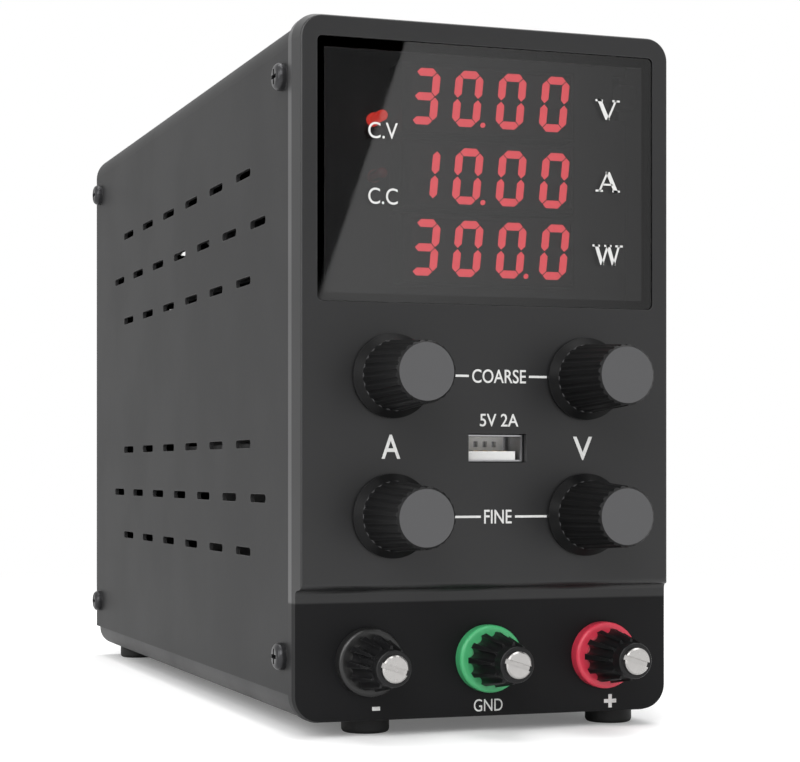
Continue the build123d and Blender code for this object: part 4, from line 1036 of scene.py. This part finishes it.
@dataclass
class Case:
    """The folded steel case, its rear panel, screws and feet."""

    paint: Finish = Finish("case_powder_coat", (0.021, 0.021, 0.0215), 0.5, gloss=0.1, grain_scale=2300.0,
                           grain_depth=0.00002, grain_tone=0.08, smudge=0.03, wear_and_highlight=0.35, wear_and_highlight_color=(0.15, 0.15, 0.15),
                           wear_and_highlight_width=0.0004)
    dark_paint: Finish = Finish("chassis_powder_coat", (0.018, 0.018, 0.0185), 0.5, gloss=0.4, grain_scale=2300.0,
                                grain_depth=0.00003, grain_tone=0.1, wear_and_highlight=0.3, wear_and_highlight_color=(0.12, 0.12, 0.12))
    screw: Finish = Finish("black_oxide", (0.03, 0.03, 0.032), 0.36, metallic=0.6, smudge=0.12, wear_and_highlight=0.5,
                           wear_and_highlight_color=(0.2, 0.2, 0.2), wear_and_highlight_width=0.0003)
    rubber: Finish = Finish("foot_rubber", (0.016, 0.016, 0.016), 0.62, gloss=0.35, grain_scale=1800.0,
                            grain_depth=0.00003, grain_tone=0.14, dust=0.2)
    zinc: Finish = Finish("zinc_plate", (0.6, 0.6, 0.58), 0.36, metallic=1.0, smudge=0.12)

    def dress(self, box: Paintbox) -> None:
        """Lay the finishes on the case.

        Args:
            box: The finishes.
        """
        box.dress(self.paint, "top_cover")
        box.dress(self.dark_paint, "bottom_chassis", "rear_panel")
        box.dress(self.screw, "cover_screws", "rear_screws")
        box.dress(self.rubber, "feet")
        box.dress(self.zinc, "foot_screws")


@dataclass
class RearFittings:
    """The fan with its guard, the mains inlet, the power switch and the voltage selector."""

    fan_plastic: Finish = Finish("fan_plastic", (0.014, 0.014, 0.014), 0.34, gloss=0.5, smudge=0.1, dust=0.12)
    wire: Finish = Finish("guard_wire", (0.7, 0.7, 0.69), 0.22, metallic=1.0, smudge=0.1)
    housing: Finish = Finish("inlet_plastic", (0.014, 0.014, 0.0145), 0.4, gloss=0.45, grain_scale=3000.0,
                             grain_depth=0.00001)
    blade: Finish = Finish("inlet_blade", (0.74, 0.72, 0.66), 0.26, metallic=1.0, brushing=0.1)
    rocker: Finish = Finish("rocker_plastic", (0.02, 0.02, 0.02), 0.26, gloss=0.5, smudge=0.12)
    tab: Finish = Finish("selector_plastic", (0.5, 0.03, 0.03), 0.35, smudge=0.08)

    def build(self, box: Paintbox) -> None:
        """Lay the finishes on the rear fittings.

        Args:
            box: The finishes.
        """
        box.dress(self.fan_plastic, "fan_frame", "fan_rotor")
        box.dress(self.wire, "fan_guard", "fan_screws", "fan_nuts")
        box.dress(self.housing, "mains_inlet", "switch_body", "selector_body")
        box.dress(self.blade, "inlet_blades", "switch_tails")
        box.dress(self.rocker, "switch_rocker")
        box.dress(self.tab, "selector_tab")


@dataclass
class Interior:
    """What shows dimly through the vents: the boards and the parts on them."""

    laminate: Finish = Finish("green_laminate", (0.02, 0.12, 0.045), 0.4, grain_scale=900.0, grain_tone=0.2)
    metal: Finish = Finish("drawn_steel", (0.5, 0.5, 0.5), 0.35, metallic=1.0, brushing=0.1)
    fins: Finish = Finish("black_anodised", (0.02, 0.02, 0.021), 0.45, gloss=0.35, brushing=0.1)
    dark: Finish = Finish("device_epoxy", (0.018, 0.018, 0.018), 0.55, grain_depth=0.00001)
    core: Finish = Finish("ferrite_core", (0.05, 0.05, 0.052), 0.6, grain_scale=1500.0, grain_tone=0.2)
    tape: Finish = Finish("winding_tape", (0.62, 0.42, 0.06), 0.35)
    sleeve: Finish = Finish("can_sleeve", (0.03, 0.04, 0.09), 0.25)
    copper: Finish = Finish("enamelled_copper", (0.6, 0.22, 0.07), 0.3, metallic=0.8, brushing=0.2)
    tube: Finish = Finish("fuse_tube", (0.9, 0.92, 0.92), 0.02, Sheen.GLASS)

    def dress(self, box: Paintbox) -> None:
        """Lay the finishes on the inside.

        Args:
            box: The finishes.
        """
        box.dress(self.laminate, "power_board")
        box.dress(self.metal, "potentiometers", "potentiometer_nuts", "standoffs", "front_board_screws",
                  "power_board_screws")
        box.dress(self.fins, "heatsinks")
        box.dress(self.dark, "power_devices")
        box.dress(self.core, "transformer_core")
        box.dress(self.tape, "transformer_winding")
        box.dress(self.sleeve, "capacitors")
        box.dress(self.copper, "output_choke")
        box.dress(self.tube, "mains_fuse")


@dataclass
class Studio:
    """The pale floor, the cards that the window reflects, the lamps and the camera. Lengths in metres."""

    floor_reach: float = 3.0
    fade_near: float = 0.2
    fade_far: float = 0.6
    floor_lift: float = 0.14
    world_strength: float = 0.62
    camera_from_bezel: tuple[float, float, float] = (-0.16863, -0.40971, 0.05406)
    yaw_degrees: float = 18.71
    focal_pixels: float = 2023.04
    axis_pixel: Point = (360.19, 470.65)
    card_distance: float = 0.6
    dark_card: tuple[Point, ...] = ((-0.12, 0.1431), (0.15, 0.1431), (0.1988, 0.2823), (0.2401, 0.4), (-0.12, 0.4))
    bright_card: tuple[Point, ...] = ((0.151, 0.1431), (0.5, 0.1431), (0.5, 0.4), (0.2411, 0.4), (0.1998, 0.2823))

    def build(self, bench: Bench) -> None:
        """Set the floor, cards, lamps, world and camera.

        Args:
            bench: Places on the front.
        """
        self._floor()
        self._world()
        self._card(bench, "dark_card", self.dark_card, 0.0, 0.0)
        self._card(bench, "bright_card", self.bright_card, 1.5, 0.35)
        self._lamp("front_softbox", (-0.55, -1.0, 0.75), (0.0, 0.0, 0.07), (0.7, 0.7), 9.0)
        self._lamp("side_softbox", (-0.75, -0.35, 0.3), (-0.04, -0.02, 0.08), (0.25, 0.5), 2.2)
        self._lamp("top_softbox", (0.1, 0.05, 1.1), (0.0, 0.0, 0.15), (0.9, 0.9), 10.0)
        self._camera(bench)

    def _floor(self) -> None:
        """Make the floor that the feet stand on."""
        mesh = bmesh.new()
        reach = self.floor_reach
        mesh.faces.new([mesh.verts.new((x, y, 0.0)) for x, y in rectangle(-reach, reach, -reach, reach)])
        floor = meshed("floor", mesh)
        material = bpy.data.materials.new("pale_floor")
        wiring = blank(material)
        paper = wiring.add("ShaderNodeBsdfDiffuse")
        paper.inputs["Color"].default_value = (0.93, 0.93, 0.93, 1.0)
        lift = wiring.add("ShaderNodeEmission")
        rays = wiring.add("ShaderNodeLightPath")
        wiring.feed(lift.inputs["Strength"], wiring.math("MULTIPLY", rays.outputs["Is Camera Ray"], self.floor_lift))
        both = wiring.add("ShaderNodeAddShader")
        wiring.feed(both.inputs[0], paper.outputs[0])
        wiring.feed(both.inputs[1], lift.outputs[0])
        away = wiring.add("ShaderNodeVectorMath", operation="LENGTH")
        wiring.feed(away.inputs[0], wiring.place())
        faded = wiring.ramp(away.outputs["Value"], self.fade_near, self.fade_far)
        white = wiring.add("ShaderNodeEmission")
        floor_mix = wiring.add("ShaderNodeMixShader")
        wiring.feed(floor_mix.inputs[0], wiring.math("MULTIPLY", wiring.seen(), faded))
        wiring.feed(floor_mix.inputs[1], both.outputs[0])
        wiring.feed(floor_mix.inputs[2], white.outputs[0])
        wiring.surface(floor_mix)
        floor.data.materials.append(material)

    def _world(self) -> None:
        """Light the scene evenly, and show white to the camera, to gloss and through glass."""
        world = bpy.data.worlds.new("studio")
        bpy.context.scene.world = world
        wiring = blank(world)
        sky = wiring.add("ShaderNodeBackground")
        sky.inputs["Color"].default_value = (1.0, 1.0, 1.0, 1.0)
        wiring.feed(sky.inputs["Strength"],
                    wiring.math("MULTIPLY_ADD", wiring.seen(), 1.0 - self.world_strength, self.world_strength))
        wiring.surface(sky, "World")

    def _card(self, bench: Bench, name: str, corners: tuple[Point, ...], near: float, far: float) -> None:
        """Make a card that only reflections see, in front of the object and facing it.

        Args:
            bench: Places on the front.
            name: The card's name.
            corners: Its corners, across and up from the bezel's foot, in metres.
            near: Its brightness at its left edge.
            far: Its brightness at its right edge.
        """
        mesh = bmesh.new()
        mesh.faces.new([mesh.verts.new((x, bench.front - self.card_distance, bench.foot + z)) for x, z in corners])
        card = meshed(name, mesh)
        card.visible_camera = card.visible_diffuse = card.visible_shadow = False
        card.visible_transmission = card.visible_volume_scatter = False
        material = bpy.data.materials.new(name)
        wiring = blank(material)
        left = min(x for x, _ in corners)
        right = max(x for x, _ in corners)
        lamp = wiring.add("ShaderNodeEmission")
        wiring.feed(lamp.inputs["Strength"], wiring.ramp(wiring.along(wiring.place(), "X"), left, right, near, far))
        wiring.surface(lamp)
        card.data.materials.append(material)

    def _lamp(self, name: str, place: tuple[float, float, float], aim: tuple[float, float, float], size: Point,
              power: float) -> None:
        """Set a soft area lamp.

        Args:
            name: The lamp's name.
            place: Where it stands.
            aim: The point that it faces.
            size: Its width and height.
            power: Its power in watts.
        """
        data = bpy.data.lights.new(name, "AREA")
        data.shape = "RECTANGLE"
        data.size, data.size_y = size
        data.energy = power
        lamp = placed(name, data)
        lamp.location = place
        lamp.rotation_euler = (Vector(aim) - Vector(place)).to_track_quat("-Z", "Y").to_euler()

    def _camera(self, bench: Bench) -> None:
        """Set the camera where the photograph was taken from.

        Args:
            bench: Places on the front.
        """
        data = bpy.data.cameras.new("camera")
        data.sensor_fit = "HORIZONTAL"
        data.sensor_width = 36.0
        data.lens = self.focal_pixels * data.sensor_width / PHOTO_WIDTH
        data.shift_x = (PHOTO_WIDTH / 2 - self.axis_pixel[0]) / PHOTO_WIDTH
        data.shift_y = (self.axis_pixel[1] - PHOTO_HEIGHT / 2) / PHOTO_WIDTH
        data.clip_start = 0.01
        camera = placed("camera", data)
        right, back, up = self.camera_from_bezel
        camera.location = (right, bench.front + back, bench.foot + up)
        camera.rotation_euler = (math.radians(90.0), 0.0, -math.radians(self.yaw_degrees))
        bpy.context.scene.camera = camera


def main() -> None:
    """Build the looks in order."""
    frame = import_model()
    bpy.context.scene.view_settings.view_transform = "Standard"
    box = Paintbox(frame)
    bench = Bench()
    Studio().build(bench)
    Case().dress(box)
    FrontPanel().build(bench, box)
    Display().build(bench, box)
    Controls().dress(box)
    UsbSocket().build(bench, box)
    BindingPosts().dress(box)
    RearFittings().build(box)
    Interior().dress(box)


if __name__ == "__main__":
    logging.basicConfig(level=logging.INFO)
    main()
